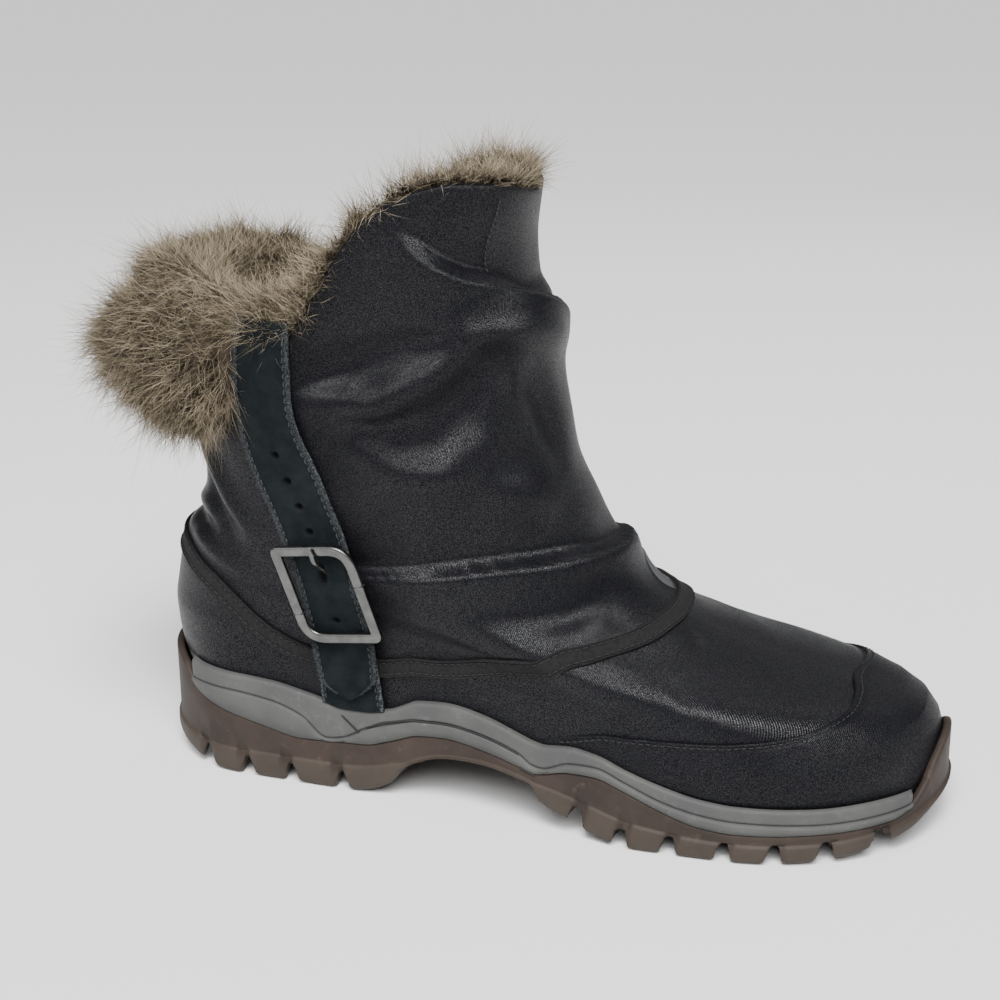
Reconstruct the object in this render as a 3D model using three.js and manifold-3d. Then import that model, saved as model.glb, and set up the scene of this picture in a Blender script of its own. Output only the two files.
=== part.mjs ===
// Right-foot winter ankle boot: a satin nylon upper on a moulded midsole and a lugged rubber outsole,
// with a fur lining that is turned out into a cuff behind, and a suede strap with a metal buckle.
// Millimetres. +X runs to the toe, +Y to the inner (medial) side and +Z up. The origin is on the
// floor under the heel.
import * as THREE from 'three';
import { mergeVertices } from 'three/addons/utils/BufferGeometryUtils.js';
import Module from 'manifold-3d';

const wasm = await Module();
wasm.setup();

// Last
const footLength = 277; // heel to toe along the feather line, where upper and sole meet
const heelSetback = 30; // from the origin back to the heel end of the feather line
const ballWidth = 94; // breadth of the last at the ball
const shaftHeight = 222; // floor to the top of the last in front
const heelRise = 37; // floor to the feather line at the heel
const toeSwing = 8; // how far the toe leans to the inner side

// Walls and clearances
const seatGap = 0.3; // between pieces that touch
const upperWall = 2.6; // satin, wadding and backing together
const insoleThickness = 5;
const insoleMargin = 1.2; // between the insole's edge and the inside of the upper
const midsoleMargin = 2.4; // how far the midsole stands out past the feather line
const panelStep = 0.7; // how far its lower panels stand out past its upper ones
const cupWall = 3; // rubber wall round the heel and the toe
const outsoleMargin = 3;
const lugStep = 0.9; // how far the lugs stand out past the wall over them
const bandThickness = 1;
const bandWidth = 6;
const randThickness = 0.8;

// Tread
const gapWidth = 4.4; // between side lugs
const gapDepth = 5.4;
const gapReach = 0.6; // how far a gap runs in, as a share of the half breadth
const channelWidth = 4;
const channelDepth = 4.5;
const channelSpread = 0.3; // of ballWidth, between the two long channels

// Strap and buckle
const strapWidth = 23;
const strapThickness = 1.7;
const anchorThickness = 1.4;
const holeSize = 2.6;
const frameWidth = 30;
const frameHeight = 35.5;
const frameBar = 4; // width of the frame's bars
const frameThickness = 2;
const frameCorner = 9; // radius of its two round corners
const hingeBar = 2;
const hingeDrop = 2; // how far the hinge bar lies below the frame's middle
const hingeThickness = 1.1;
const hingeSag = 1.2; // how far its ends bend down, following the boot
const prongWidth = 2;

// Fur
const liningPile = 7; // depth inside the shaft
const lockLength = 12;
const lockWidth = 5;

// Half widths of the feather line in plan as shares of ballWidth, along it from the heel
const plan = [
  { along: 0.0, lateral: 0.33, medial: 0.33 },
  { along: 0.11, lateral: 0.355, medial: 0.335 },
  { along: 0.24, lateral: 0.365, medial: 0.33 },
  { along: 0.4, lateral: 0.37, medial: 0.315 },
  { along: 0.55, lateral: 0.445, medial: 0.36 },
  { along: 0.67, lateral: 0.505, medial: 0.435 },
  { along: 0.77, lateral: 0.51, medial: 0.475 },
  { along: 0.86, lateral: 0.485, medial: 0.475 },
  { along: 0.94, lateral: 0.45, medial: 0.455 },
  { along: 1.0, lateral: 0.42, medial: 0.435 },
];

// Side of the sole, heights as shares of heelRise along footLength from the heel: the feather
// line, the line round the midsole's side, the rim of the rubber cup, the midsole's seat on the
// outsole, the ledge over the lugs and the tread.
const side = [
  { along: -0.03, feather: 1.12, line: 0.88, rim: 1.13, seat: 0.46, ledge: 0.36, tread: 0.3 },
  { along: 0.0, feather: 1.1, line: 0.87, rim: 1.08, seat: 0.46, ledge: 0.33, tread: 0.2 },
  { along: 0.03, feather: 1.08, line: 0.86, rim: 0.98, seat: 0.46, ledge: 0.3, tread: 0.12 },
  { along: 0.06, feather: 1.04, line: 0.86, rim: 0.77, seat: 0.46, ledge: 0.27, tread: 0.06 },
  { along: 0.1, feather: 1.03, line: 0.86, rim: 0.66, seat: 0.46, ledge: 0.25, tread: 0.0 },
  { along: 0.17, feather: 1.0, line: 0.81, rim: 0.53, seat: 0.46, ledge: 0.25, tread: 0.0 },
  { along: 0.214, feather: 0.94, line: 0.7, rim: 0.47, seat: 0.47, ledge: 0.25, tread: 0.0 },
  { along: 0.25, feather: 0.88, line: 0.5, rim: 0.48, seat: 0.48, ledge: 0.25, tread: 0.0 },
  { along: 0.275, feather: 0.84, line: 0.54, rim: 0.49, seat: 0.49, ledge: 0.25, tread: 0.0 },
  { along: 0.304, feather: 0.84, line: 0.66, rim: 0.5, seat: 0.5, ledge: 0.27, tread: 0.03 },
  { along: 0.333, feather: 0.87, line: 0.73, rim: 0.56, seat: 0.56, ledge: 0.32, tread: 0.12 },
  { along: 0.355, feather: 0.94, line: 0.78, rim: 0.62, seat: 0.62, ledge: 0.36, tread: 0.3 },
  { along: 0.37, feather: 0.99, line: 0.81, rim: 0.66, seat: 0.66, ledge: 0.42, tread: 0.38 },
  { along: 0.41, feather: 1.01, line: 0.82, rim: 0.68, seat: 0.68, ledge: 0.5, tread: 0.48 },
  { along: 0.46, feather: 0.96, line: 0.78, rim: 0.64, seat: 0.64, ledge: 0.51, tread: 0.5 },
  { along: 0.51, feather: 0.86, line: 0.69, rim: 0.57, seat: 0.57, ledge: 0.48, tread: 0.46 },
  { along: 0.53, feather: 0.82, line: 0.6, rim: 0.53, seat: 0.53, ledge: 0.44, tread: 0.42 },
  { along: 0.54, feather: 0.81, line: 0.59, rim: 0.54, seat: 0.54, ledge: 0.43, tread: 0.27 },
  { along: 0.58, feather: 0.85, line: 0.7, rim: 0.62, seat: 0.62, ledge: 0.38, tread: 0.15 },
  { along: 0.612, feather: 0.83, line: 0.72, rim: 0.635, seat: 0.635, ledge: 0.33, tread: 0.06 },
  { along: 0.65, feather: 0.74, line: 0.63, rim: 0.555, seat: 0.555, ledge: 0.26, tread: 0.0 },
  { along: 0.696, feather: 0.63, line: 0.49, rim: 0.41, seat: 0.41, ledge: 0.21, tread: 0.0 },
  { along: 0.74, feather: 0.55, line: 0.41, rim: 0.305, seat: 0.305, ledge: 0.18, tread: 0.0 },
  { along: 0.78, feather: 0.52, line: 0.38, rim: 0.275, seat: 0.275, ledge: 0.17, tread: 0.0 },
  { along: 0.88, feather: 0.51, line: 0.37, rim: 0.29, seat: 0.29, ledge: 0.19, tread: 0.03 },
  { along: 0.95, feather: 0.52, line: 0.385, rim: 0.31, seat: 0.31, ledge: 0.24, tread: 0.11 },
  { along: 0.975, feather: 0.52, line: 0.4, rim: 0.38, seat: 0.33, ledge: 0.28, tread: 0.17 },
  { along: 0.99, feather: 0.51, line: 0.42, rim: 0.54, seat: 0.35, ledge: 0.33, tread: 0.26 },
  { along: 1.0, feather: 0.51, line: 0.43, rim: 0.74, seat: 0.37, ledge: 0.37, tread: 0.33 },
  { along: 1.02, feather: 0.51, line: 0.44, rim: 0.95, seat: 0.4, ledge: 0.44, tread: 0.42 },
];

// Gaps between the side lugs along footLength, with the degrees that they slant by in plan
const sideGaps = [
  { along: 0.077, slant: 24 },
  { along: 0.138, slant: 18 },
  { along: 0.2, slant: 14 },
  { along: 0.271, slant: 12 },
  { along: 0.588, slant: -6 },
  { along: 0.645, slant: -4 },
  { along: 0.704, slant: 0 },
  { along: 0.769, slant: 4 },
  { along: 0.828, slant: 10 },
  { along: 0.886, slant: 18 },
  { along: 0.946, slant: 30 },
];

// Sections of the last, each a loop in a plane through a point on the front profile and one on the
// back profile: shares of footLength from the heel (x0 behind, x1 in front), of shaftHeight (z0,
// z1) and of ballWidth (lateral, medial). heel and toe are the shares of the loop that close its
// ends, and foot says how far it follows the plan.
const levels = [
  { x1: 1, z1: 0.086, x0: 0, z0: 0.182, lateral: 0.46, medial: 0.43, heel: 0.13, toe: 0.2, foot: 1 },
  { x1: 1, z1: 0.131, x0: -0.007, z0: 0.221, lateral: 0.46, medial: 0.43, heel: 0.14, toe: 0.22, foot: 1 },
  { x1: 0.998, z1: 0.171, x0: -0.009, z0: 0.257, lateral: 0.46, medial: 0.43, heel: 0.15, toe: 0.25, foot: 0.96 },
  { x1: 0.982, z1: 0.194, x0: -0.005, z0: 0.288, lateral: 0.46, medial: 0.43, heel: 0.17, toe: 0.29, foot: 0.9 },
  { x1: 0.937, z1: 0.209, x0: 0, z0: 0.318, lateral: 0.46, medial: 0.43, heel: 0.19, toe: 0.33, foot: 0.82 },
  { x1: 0.874, z1: 0.216, x0: 0.005, z0: 0.345, lateral: 0.455, medial: 0.43, heel: 0.22, toe: 0.37, foot: 0.7 },
  { x1: 0.794, z1: 0.236, x0: 0.011, z0: 0.367, lateral: 0.45, medial: 0.43, heel: 0.25, toe: 0.41, foot: 0.55 },
  { x1: 0.715, z1: 0.277, x0: 0.018, z0: 0.39, lateral: 0.445, medial: 0.43, heel: 0.29, toe: 0.44, foot: 0.4 },
  { x1: 0.65, z1: 0.324, x0: 0.036, z0: 0.412, lateral: 0.445, medial: 0.43, heel: 0.34, toe: 0.46, foot: 0.25 },
  { x1: 0.603, z1: 0.381, x0: 0.045, z0: 0.441, lateral: 0.45, medial: 0.43, heel: 0.4, toe: 0.48, foot: 0.12 },
  { x1: 0.567, z1: 0.455, x0: 0.049, z0: 0.482, lateral: 0.455, medial: 0.435, heel: 0.44, toe: 0.49, foot: 0.04 },
  { x1: 0.536, z1: 0.545, x0: 0.051, z0: 0.532, lateral: 0.465, medial: 0.44, heel: 0.47, toe: 0.5, foot: 0 },
  { x1: 0.52, z1: 0.646, x0: 0.049, z0: 0.586, lateral: 0.475, medial: 0.45, heel: 0.49, toe: 0.5, foot: 0 },
  { x1: 0.514, z1: 0.725, x0: 0.045, z0: 0.635, lateral: 0.48, medial: 0.455, heel: 0.5, toe: 0.5, foot: 0 },
  { x1: 0.505, z1: 0.777, x0: 0.042, z0: 0.676, lateral: 0.48, medial: 0.455, heel: 0.5, toe: 0.5, foot: 0 },
  { x1: 0.487, z1: 0.815, x0: 0.038, z0: 0.712, lateral: 0.475, medial: 0.45, heel: 0.5, toe: 0.5, foot: 0 },
  { x1: 0.482, z1: 0.869, x0: 0.034, z0: 0.748, lateral: 0.47, medial: 0.445, heel: 0.5, toe: 0.5, foot: 0 },
  { x1: 0.489, z1: 0.941, x0: 0.031, z0: 0.793, lateral: 0.465, medial: 0.44, heel: 0.5, toe: 0.5, foot: 0 },
  { x1: 0.493, z1: 1, x0: 0.029, z0: 0.829, lateral: 0.46, medial: 0.435, heel: 0.5, toe: 0.5, foot: 0 },
  { x1: 0.495, z1: 1.059, x0: 0.027, z0: 0.869, lateral: 0.455, medial: 0.43, heel: 0.5, toe: 0.5, foot: 0 },
];
const heelFullness = 2.2; // exponents of the rounded ends in plan
const toeFullness = 2.3;
const waveReach = 0.28; // share of the height over which the feather line's wave fades out

// Collar edge at degrees round from the front, on the last, and how far the pile stands over it
const collar = [
  { turn: 0, top: 0.893, pile: 0.01 },
  { turn: 28, top: 0.915, pile: 0.01 },
  { turn: 53, top: 0.935, pile: 0.01 },
  { turn: 64, top: 0.932, pile: 0.012 },
  { turn: 74, top: 0.91, pile: 0.015 },
  { turn: 81, top: 0.875, pile: 0.02 },
  { turn: 88, top: 0.828, pile: 0.035 },
  { turn: 100, top: 0.761, pile: 0.07 },
  { turn: 112, top: 0.75, pile: 0.09 },
  { turn: 145, top: 0.78, pile: 0.1 },
  { turn: 180, top: 0.8, pile: 0.1 },
];

// Middle of the sewn band that runs round over the heel, under the strap and over the instep
const bandLine = [
  { turn: 0, up: 0.4 },
  { turn: 11, up: 0.398 },
  { turn: 36, up: 0.376 },
  { turn: 61, up: 0.328 },
  { turn: 88, up: 0.186 },
  { turn: 102, up: 0.09 },
  { turn: 117, up: 0.086 },
  { turn: 124, up: 0.09 },
  { turn: 129, up: 0.108 },
  { turn: 138, up: 0.195 },
  { turn: 144, up: 0.242 },
  { turn: 159, up: 0.3 },
  { turn: 180, up: 0.32 },
];

// Seam round the top of the toe rand
const randLine = [
  { turn: 0, up: 0.228 },
  { turn: 15, up: 0.212 },
  { turn: 30, up: 0.173 },
  { turn: 46, up: 0.128 },
  { turn: 63, up: 0.099 },
  { turn: 73, up: 0.067 },
  { turn: 83, up: 0.026 },
];

// Middle of the strap from the collar to its tip: shares of footLength from the heel and of
// shaftHeight, share of its width, and how far it has climbed onto the anchor strap.
const strapLine = [
  { run: 0, x: 0.203, z: 0.74, width: 0.86, climb: 0 },
  { run: 0.22, x: 0.198, z: 0.614, width: 0.96, climb: 0 },
  { run: 0.37, x: 0.227, z: 0.527, width: 1, climb: 0 },
  { run: 0.54, x: 0.256, z: 0.433, width: 0.98, climb: 0.4 },
  { run: 0.68, x: 0.273, z: 0.347, width: 0.96, climb: 1 },
  { run: 0.84, x: 0.282, z: 0.248, width: 0.98, climb: 1 },
  { run: 0.93, x: 0.285, z: 0.196, width: 0.9, climb: 1 },
  { run: 1, x: 0.288, z: 0.162, width: 0.08, climb: 1 },
];
const holeRuns = [0.31, 0.38, 0.45, 0.52, 0.75]; // punched holes, apart from the prong's
const prongRun = 0.635;

// Middle of the anchor strap from the hinge bar down to the midsole
const anchorLine = [
  { run: 0, x: 0.278, z: 0.285, width: 0.9 },
  { run: 0.5, x: 0.282, z: 0.215, width: 0.96 },
  { run: 1, x: 0.288, z: 0.145, width: 1 },
];

// Buckle: its middle on the side of the boot, and the degrees that its bars lean by
const buckle = { x: 0.272, z: 0.346, across: 7.8, down: -75.5, hinge: 32, prong: 99 };

// Turned-out cuff behind: how far it stands off the shaft as a share of ballWidth, and its lower
// and upper edge as shares of shaftHeight, at degrees round from the front.
const cuff = [
  { turn: 121, out: 0.07, low: 0.62, high: 0.79 },
  { turn: 128, out: 0.15, low: 0.59, high: 0.815 },
  { turn: 140, out: 0.24, low: 0.575, high: 0.835 },
  { turn: 155, out: 0.32, low: 0.585, high: 0.84 },
  { turn: 180, out: 0.36, low: 0.6, high: 0.83 },
];

// A column of a table at a key: cubic pieces that stay between their rows.
function column(rows, key, name, at) {
  const last = rows.length - 1;
  const x = Math.min(Math.max(at, rows[0][key]), rows[last][key]);
  let i = 0;
  while (i < last - 1 && x > rows[i + 1][key]) i++;
  const secant = (k) => {
    const p = rows[k];
    const q = rows[k + 1];
    return (q[name] - p[name]) / (q[key] - p[key]);
  };
  const slope = (k) => {
    if (k === 0 || k === last) return 0;
    const before = secant(k - 1);
    const after = secant(k);
    return before * after <= 0 ? 0 : (2 * before * after) / (before + after);
  };
  const width = rows[i + 1][key] - rows[i][key];
  const f = (x - rows[i][key]) / width;
  const g = 1 - f;
  return (
    rows[i][name] * g * g * (1 + 2 * f) +
    rows[i + 1][name] * f * f * (1 + 2 * g) +
    width * f * g * (g * slope(i) - f * slope(i + 1))
  );
}

const levelRows = levels.map((row, i) => ({ up: i / (levels.length - 1), ...row }));
const soleZ = (name, along) => heelRise * column(side, 'along', name, along);
const alongOf = (x) => (x + heelSetback) / footLength;
const footX = (along) => along * footLength - heelSetback;

// 1 in the middle of a loop, closing to 0 at its two ends.
function endRound(along, heelShare, toeShare) {
  const heel = Math.max(0, 1 - along / heelShare);
  const toe = Math.max(0, (along - 1 + toeShare) / toeShare);
  const heelSide = Math.max(0, 1 - heel ** heelFullness) ** (1 / heelFullness);
  return heelSide * Math.max(0, 1 - toe ** toeFullness) ** (1 / toeFullness);
}

// A point on the last: turn is in degrees round from the front by way of the lateral side.
function lastPoint(turn, up) {
  const angle = THREE.MathUtils.degToRad(turn);
  const along = (1 + Math.cos(angle)) / 2;
  const level = (name) => column(levelRows, 'up', name, up);
  const lateral = Math.sin(angle) >= 0;
  const name = lateral ? 'lateral' : 'medial';
  const foot = level('foot');
  const half = foot * column(plan, 'along', name, along) + (1 - foot) * level(name);
  const swing = toeSwing * foot * Math.max(0, 2 * along - 1) ** 2;
  const flat = levels[0].z0 + along * (levels[0].z1 - levels[0].z0);
  const wave = soleZ('feather', along) - flat * shaftHeight;
  const high = level('z0') + along * (level('z1') - level('z0'));
  return new THREE.Vector3(
    footX(level('x0') + along * (level('x1') - level('x0'))),
    swing + (lateral ? -1 : 1) * half * ballWidth * endRound(along, level('heel'), level('toe')),
    high * shaftHeight + Math.max(0, 1 - up / waveReach) ** 2 * wave,
  );
}

function lastNormal(turn, up) {
  const step = 1.5;
  const low = Math.max(0, up - 0.012);
  const high = Math.min(1, up + 0.012);
  const round = lastPoint(turn + step, up).sub(lastPoint(turn - step, up));
  const climb = lastPoint(turn, high).sub(lastPoint(turn, low));
  return round.cross(climb).negate().normalize();
}

// The last's surface, lifted off it by some millimetres.
function shell(turn, up, lift) {
  return lastPoint(turn, up).addScaledVector(lastNormal(turn, up), lift);
}

// The turn and up of the point on the last's lateral side that has this x and z.
function onSide(x, z) {
  let turn = 90;
  let up = 0.5;
  for (let k = 0; k < 14; k++) {
    const p = lastPoint(turn, up);
    const t = lastPoint(turn + 0.5, up).sub(p).multiplyScalar(2);
    const u = lastPoint(turn, up + 0.005).sub(p).multiplyScalar(200);
    const dx = x - p.x;
    const dz = z - p.z;
    const det = t.x * u.z - t.z * u.x;
    turn = Math.min(Math.max(turn + THREE.MathUtils.clamp((dx * u.z - dz * u.x) / det, -25, 25), 8), 172);
    up = Math.min(Math.max(up + THREE.MathUtils.clamp((dz * t.x - dx * t.z) / det, -0.2, 0.2), 0), 0.99);
  }
  return { turn, up };
}

const foldTurn = (turn) => {
  const t = ((turn % 360) + 360) % 360;
  return t > 180 ? 360 - t : t;
};
const collarTop = (turn) => column(collar, 'turn', 'top', foldTurn(turn));

// A closed mesh from points and triangles, its faces turned outwards.
function closedGeometry(points, faces) {
  let volume = 0;
  for (const [a, b, c] of faces) volume += points[a].dot(points[b].clone().cross(points[c]));
  const geometry = new THREE.BufferGeometry();
  geometry.setAttribute(
    'position',
    new THREE.Float32BufferAttribute(points.flatMap((p) => [p.x, p.y, p.z]), 3),
  );
  geometry.setIndex(volume < 0 ? faces.flatMap(([a, b, c]) => [a, c, b]) : faces.flat());
  return geometry;
}

const quad = (a, b, c, d) => [
  [a, b, c],
  [a, c, d],
];

// A wall closed on itself round the foot. outside and inside give its two faces at a share round
// and a share of its height.
function ringWall(around, rise, outside, inside) {
  const points = [];
  const faces = [];
  for (const surface of [outside, inside])
    for (let j = 0; j <= rise; j++)
      for (let i = 0; i < around; i++) points.push(surface(i / around, j / rise));
  const at = (layer, i, j) => (layer * (rise + 1) + j) * around + (i % around);
  for (let i = 0; i < around; i++) {
    for (let j = 0; j < rise; j++) {
      faces.push(...quad(at(0, i, j), at(0, i, j + 1), at(0, i + 1, j + 1), at(0, i + 1, j)));
      faces.push(...quad(at(1, i, j), at(1, i + 1, j), at(1, i + 1, j + 1), at(1, i, j + 1)));
    }
    faces.push(...quad(at(0, i, rise), at(1, i, rise), at(1, i + 1, rise), at(0, i + 1, rise)));
    faces.push(...quad(at(0, i, 0), at(0, i + 1, 0), at(1, i + 1, 0), at(1, i, 0)));
  }
  return closedGeometry(points, faces);
}

// A patch with two faces and four edges, over shares across and along.
function patchWall(across, along, outside, inside) {
  const points = [];
  const faces = [];
  for (const surface of [outside, inside])
    for (let j = 0; j <= along; j++)
      for (let i = 0; i <= across; i++) points.push(surface(i / across, j / along));
  const at = (layer, i, j) => (layer * (along + 1) + j) * (across + 1) + i;
  for (let i = 0; i < across; i++)
    for (let j = 0; j < along; j++) {
      faces.push(...quad(at(0, i, j), at(0, i, j + 1), at(0, i + 1, j + 1), at(0, i + 1, j)));
      faces.push(...quad(at(1, i, j), at(1, i + 1, j), at(1, i + 1, j + 1), at(1, i, j + 1)));
    }
  for (let i = 0; i < across; i++) {
    faces.push(...quad(at(0, i, along), at(1, i, along), at(1, i + 1, along), at(0, i + 1, along)));
    faces.push(...quad(at(0, i, 0), at(0, i + 1, 0), at(1, i + 1, 0), at(1, i, 0)));
  }
  for (let j = 0; j < along; j++) {
    faces.push(...quad(at(0, 0, j), at(1, 0, j), at(1, 0, j + 1), at(0, 0, j + 1)));
    faces.push(...quad(at(0, across, j), at(0, across, j + 1), at(1, across, j + 1), at(1, across, j)));
  }
  return closedGeometry(points, faces);
}

function solidOf(geometry) {
  const bare = geometry.clone();
  bare.deleteAttribute('normal');
  bare.deleteAttribute('uv');
  const merged = mergeVertices(bare, 1e-3);
  return new wasm.Manifold(
    new wasm.Mesh({
      numProp: 3,
      vertProperties: merged.attributes.position.array,
      triVerts: new Uint32Array(merged.index.array),
    }),
  );
}

function geometryOf(solid) {
  const made = solid.getMesh();
  const geometry = new THREE.BufferGeometry();
  geometry.setAttribute('position', new THREE.BufferAttribute(made.vertProperties, 3));
  geometry.setIndex(new THREE.BufferAttribute(made.triVerts, 1));
  return geometry;
}

// The feather line in plan, grown outwards by a margin, as a shape.
const outlinePoints = 48;
function outlineShape(grow) {
  const points = [];
  for (let i = 0; i < outlinePoints; i++) {
    const turn = (360 * i) / outlinePoints;
    const p = lastPoint(turn, 0);
    const tangent = lastPoint(turn + 1, 0).sub(lastPoint(turn - 1, 0));
    const out = new THREE.Vector2(-tangent.y, tangent.x).normalize();
    points.push(new THREE.Vector2(p.x, p.y).addScaledVector(out, grow));
  }
  return new THREE.Shape(points.reverse());
}

function outlineSolid(grow) {
  const depth = 2 * heelRise;
  const geometry = new THREE.ExtrudeGeometry(outlineShape(grow), { depth, bevelEnabled: false });
  return solidOf(geometry.translate(0, 0, -depth / 4));
}

// The space between two curves of the sole's side, right across the foot.
function sideSolid(low, high) {
  const alongs = side.map((row) => row.along);
  const points = alongs.map((a) => new THREE.Vector2(footX(a), low(a)));
  for (const a of alongs.reverse()) points.push(new THREE.Vector2(footX(a), high(a)));
  const depth = 2 * ballWidth;
  const geometry = new THREE.ExtrudeGeometry(new THREE.Shape(points), { depth, bevelEnabled: false });
  return solidOf(geometry.rotateX(Math.PI / 2).translate(0, depth / 2, 0));
}

const boot = new THREE.Group();

function add(name, geometry, color, roughness, metalness = 0) {
  geometry.computeVertexNormals();
  const material = new THREE.MeshStandardMaterial({ color, roughness, metalness });
  const mesh = new THREE.Mesh(geometry, material);
  mesh.name = name;
  boot.add(mesh);
}

// Upper: satin shell, open underneath and at the collar
const upperAround = 38;
const upperRise = 16;
const upperUp = (turn, share) => share * collarTop(turn);

function upperFace(lift) {
  return (i, j) => {
    const p = shell(360 * i, upperUp(360 * i, j), lift);
    return j === 0 ? p.setZ(p.z - upperWall) : p;
  };
}

const belowFeather = sideSolid(() => -heelRise, (a) => soleZ('feather', a));
const upperWhole = solidOf(ringWall(upperAround, upperRise, upperFace(0), upperFace(-upperWall)));
add('upper', geometryOf(upperWhole.subtract(belowFeather)), 0x1d1d22, 0.45);

// The upper's outer form, thickened inwards and grown outwards, for what lies against it
function grownForm(lift) {
  return solidOf(ringWall(upperAround, upperRise, upperFace(lift), upperFace(-3 * upperWall)));
}
const upperForm = grownForm(seatGap);
const dressedForm = grownForm(4 * seatGap + randThickness);

// Midsole: moulded foam with a waved line round its side
const cupped = (a) => soleZ('rim', a) > soleZ('seat', a) + seatGap;
const midsoleTop = (a) => soleZ('feather', a) - seatGap;
const midsoleLow = (a) => soleZ('seat', a) + seatGap;
const upperPanels = outlineSolid(midsoleMargin).intersect(sideSolid(midsoleLow, midsoleTop));
const lowerPanels = outlineSolid(midsoleMargin + panelStep).intersect(
  sideSolid(midsoleLow, (a) => Math.max(soleZ('line', a), soleZ('seat', a) + 2 * seatGap)),
);
const underRim = sideSolid(
  () => -heelRise,
  (a) => soleZ('rim', a) + (cupped(a) ? seatGap : seatGap / 2),
);
const rebate = underRim.subtract(outlineSolid(outsoleMargin - cupWall));
add('midsole', geometryOf(upperPanels.add(lowerPanels).subtract(rebate)), 0x77777a, 0.7);

// Outsole: rubber, with a cup round the heel, a bumper at the toe and lugs
const tread = (a) => Math.max(0, soleZ('tread', a));
const wall = outlineSolid(outsoleMargin).intersect(sideSolid(tread, (a) => soleZ('rim', a)));
const lugs = outlineSolid(outsoleMargin + lugStep).intersect(
  sideSolid(tread, (a) => Math.max(soleZ('ledge', a), tread(a) + seatGap)),
);
const overSeat = sideSolid(
  (a) => soleZ('seat', a) + (cupped(a) ? 0 : seatGap / 2),
  () => 2 * heelRise,
);
const hollow = outlineSolid(outsoleMargin - cupWall + seatGap).intersect(overSeat);

function gapSolid(length, width, depth, x, y, z, degrees) {
  const half = width / 2;
  const lean = width / 5;
  const section = new THREE.Shape([
    new THREE.Vector2(-half, -gapDepth),
    new THREE.Vector2(half, -gapDepth),
    new THREE.Vector2(half - lean, depth),
    new THREE.Vector2(-half + lean, depth),
  ]);
  const geometry = new THREE.ExtrudeGeometry(section, { depth: length, bevelEnabled: false });
  geometry.rotateX(Math.PI / 2).rotateZ(THREE.MathUtils.degToRad(degrees)).translate(x, y, z);
  return solidOf(geometry);
}

let outsole = wall.add(lugs).subtract(hollow).subtract(dressedForm);
for (const { along, slant } of sideGaps) {
  const x = footX(along);
  const angle = THREE.MathUtils.radToDeg(Math.acos(2 * along - 1));
  for (const [turn, sign] of [
    [angle, -1],
    [-angle, 1],
  ]) {
    const edge = Math.abs(lastPoint(turn, 0).y);
    const length = edge * gapReach + 2 * outsoleMargin;
    const start = sign < 0 ? -edge * (1 - gapReach) : edge + 2 * outsoleMargin;
    outsole = outsole.subtract(
      gapSolid(length, gapWidth, gapDepth, x, start, tread(along), sign < 0 ? -slant : slant),
    );
  }
}
for (const share of [-0.5, 0.5]) {
  const y = share * channelSpread * ballWidth;
  const channel = gapSolid(footLength, channelWidth, channelDepth, footX(0), y, 0, 90);
  outsole = outsole.subtract(channel);
}
add('outsole', geometryOf(outsole), 0x5a4f48, 0.85);

// Insole: foam board covered with cloth, lying on the midsole inside the upper
const insole = outlineSolid(-upperWall - insoleMargin).intersect(
  sideSolid((a) => soleZ('feather', a), (a) => soleZ('feather', a) + insoleThickness),
);
add('insole', geometryOf(insole), 0x4a443d, 0.9);

// Sewn band and toe rand, each cut from a patch of the last that is thicker than it
const bandSteps = 44;
function bandCentre(turn) {
  return lastPoint(turn, column(bandLine, 'turn', 'up', foldTurn(turn)));
}

function bandFace(lift) {
  return (i, j) => {
    const turn = 360 * i;
    const up = column(bandLine, 'turn', 'up', foldTurn(turn));
    const climb = lastPoint(turn, up + 0.01).sub(lastPoint(turn, up - 0.01));
    const run = bandCentre(turn + 1).sub(bandCentre(turn - 1)).normalize();
    const lean = climb.clone().normalize().dot(run);
    const half = bandWidth / 2 / Math.sqrt(1 - lean * lean) / (climb.length() / 0.02);
    return shell(turn, up + (2 * j - 1) * half, lift);
  };
}

const bandForm = solidOf(
  ringWall(bandSteps, 1, bandFace(seatGap + bandThickness), bandFace(-upperWall)),
);
add('ankle_band', geometryOf(bandForm.subtract(upperForm)), 0x232326, 0.85);

const randAround = 24;
const randRise = 2;
const randEnd = randLine[randLine.length - 1].turn;
function randFace(lift) {
  return (i, j) => {
    const turn = randEnd * (2 * i - 1);
    return shell(turn, j * column(randLine, 'turn', 'up', Math.abs(turn)), lift);
  };
}

const randForm = solidOf(
  patchWall(randAround, randRise, randFace(seatGap + randThickness), randFace(-upperWall)),
);
add('toe_rand', geometryOf(randForm.subtract(upperForm).subtract(belowFeather)), 0x1b1b20, 0.5);

// Strap and anchor strap: suede, sewn at the midsole and passed through the buckle
const strapLift = seatGap + bandThickness + seatGap;
const climbLift = anchorThickness + seatGap;

// A point on the lateral side, lifted off it, at a run down a line and a share across it.
function sidePoint(line, run, across, lift) {
  const at = (r) => {
    const x = footX(column(line, 'run', 'x', r));
    return new THREE.Vector2(x, column(line, 'run', 'z', r) * shaftHeight);
  };
  const middle = at(run);
  const down = at(Math.min(run + 0.02, 1)).sub(at(Math.max(run - 0.02, 0))).normalize();
  const half = (column(line, 'run', 'width', run) * strapWidth) / 2;
  const { turn, up } = onSide(middle.x - down.y * across * half, middle.y + down.x * across * half);
  return shell(turn, up, lift);
}

function strapFace(thickness) {
  return (i, j) => {
    const lift = strapLift + climbLift * column(strapLine, 'run', 'climb', j);
    return sidePoint(strapLine, j, 2 * i - 1, lift + thickness);
  };
}

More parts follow.
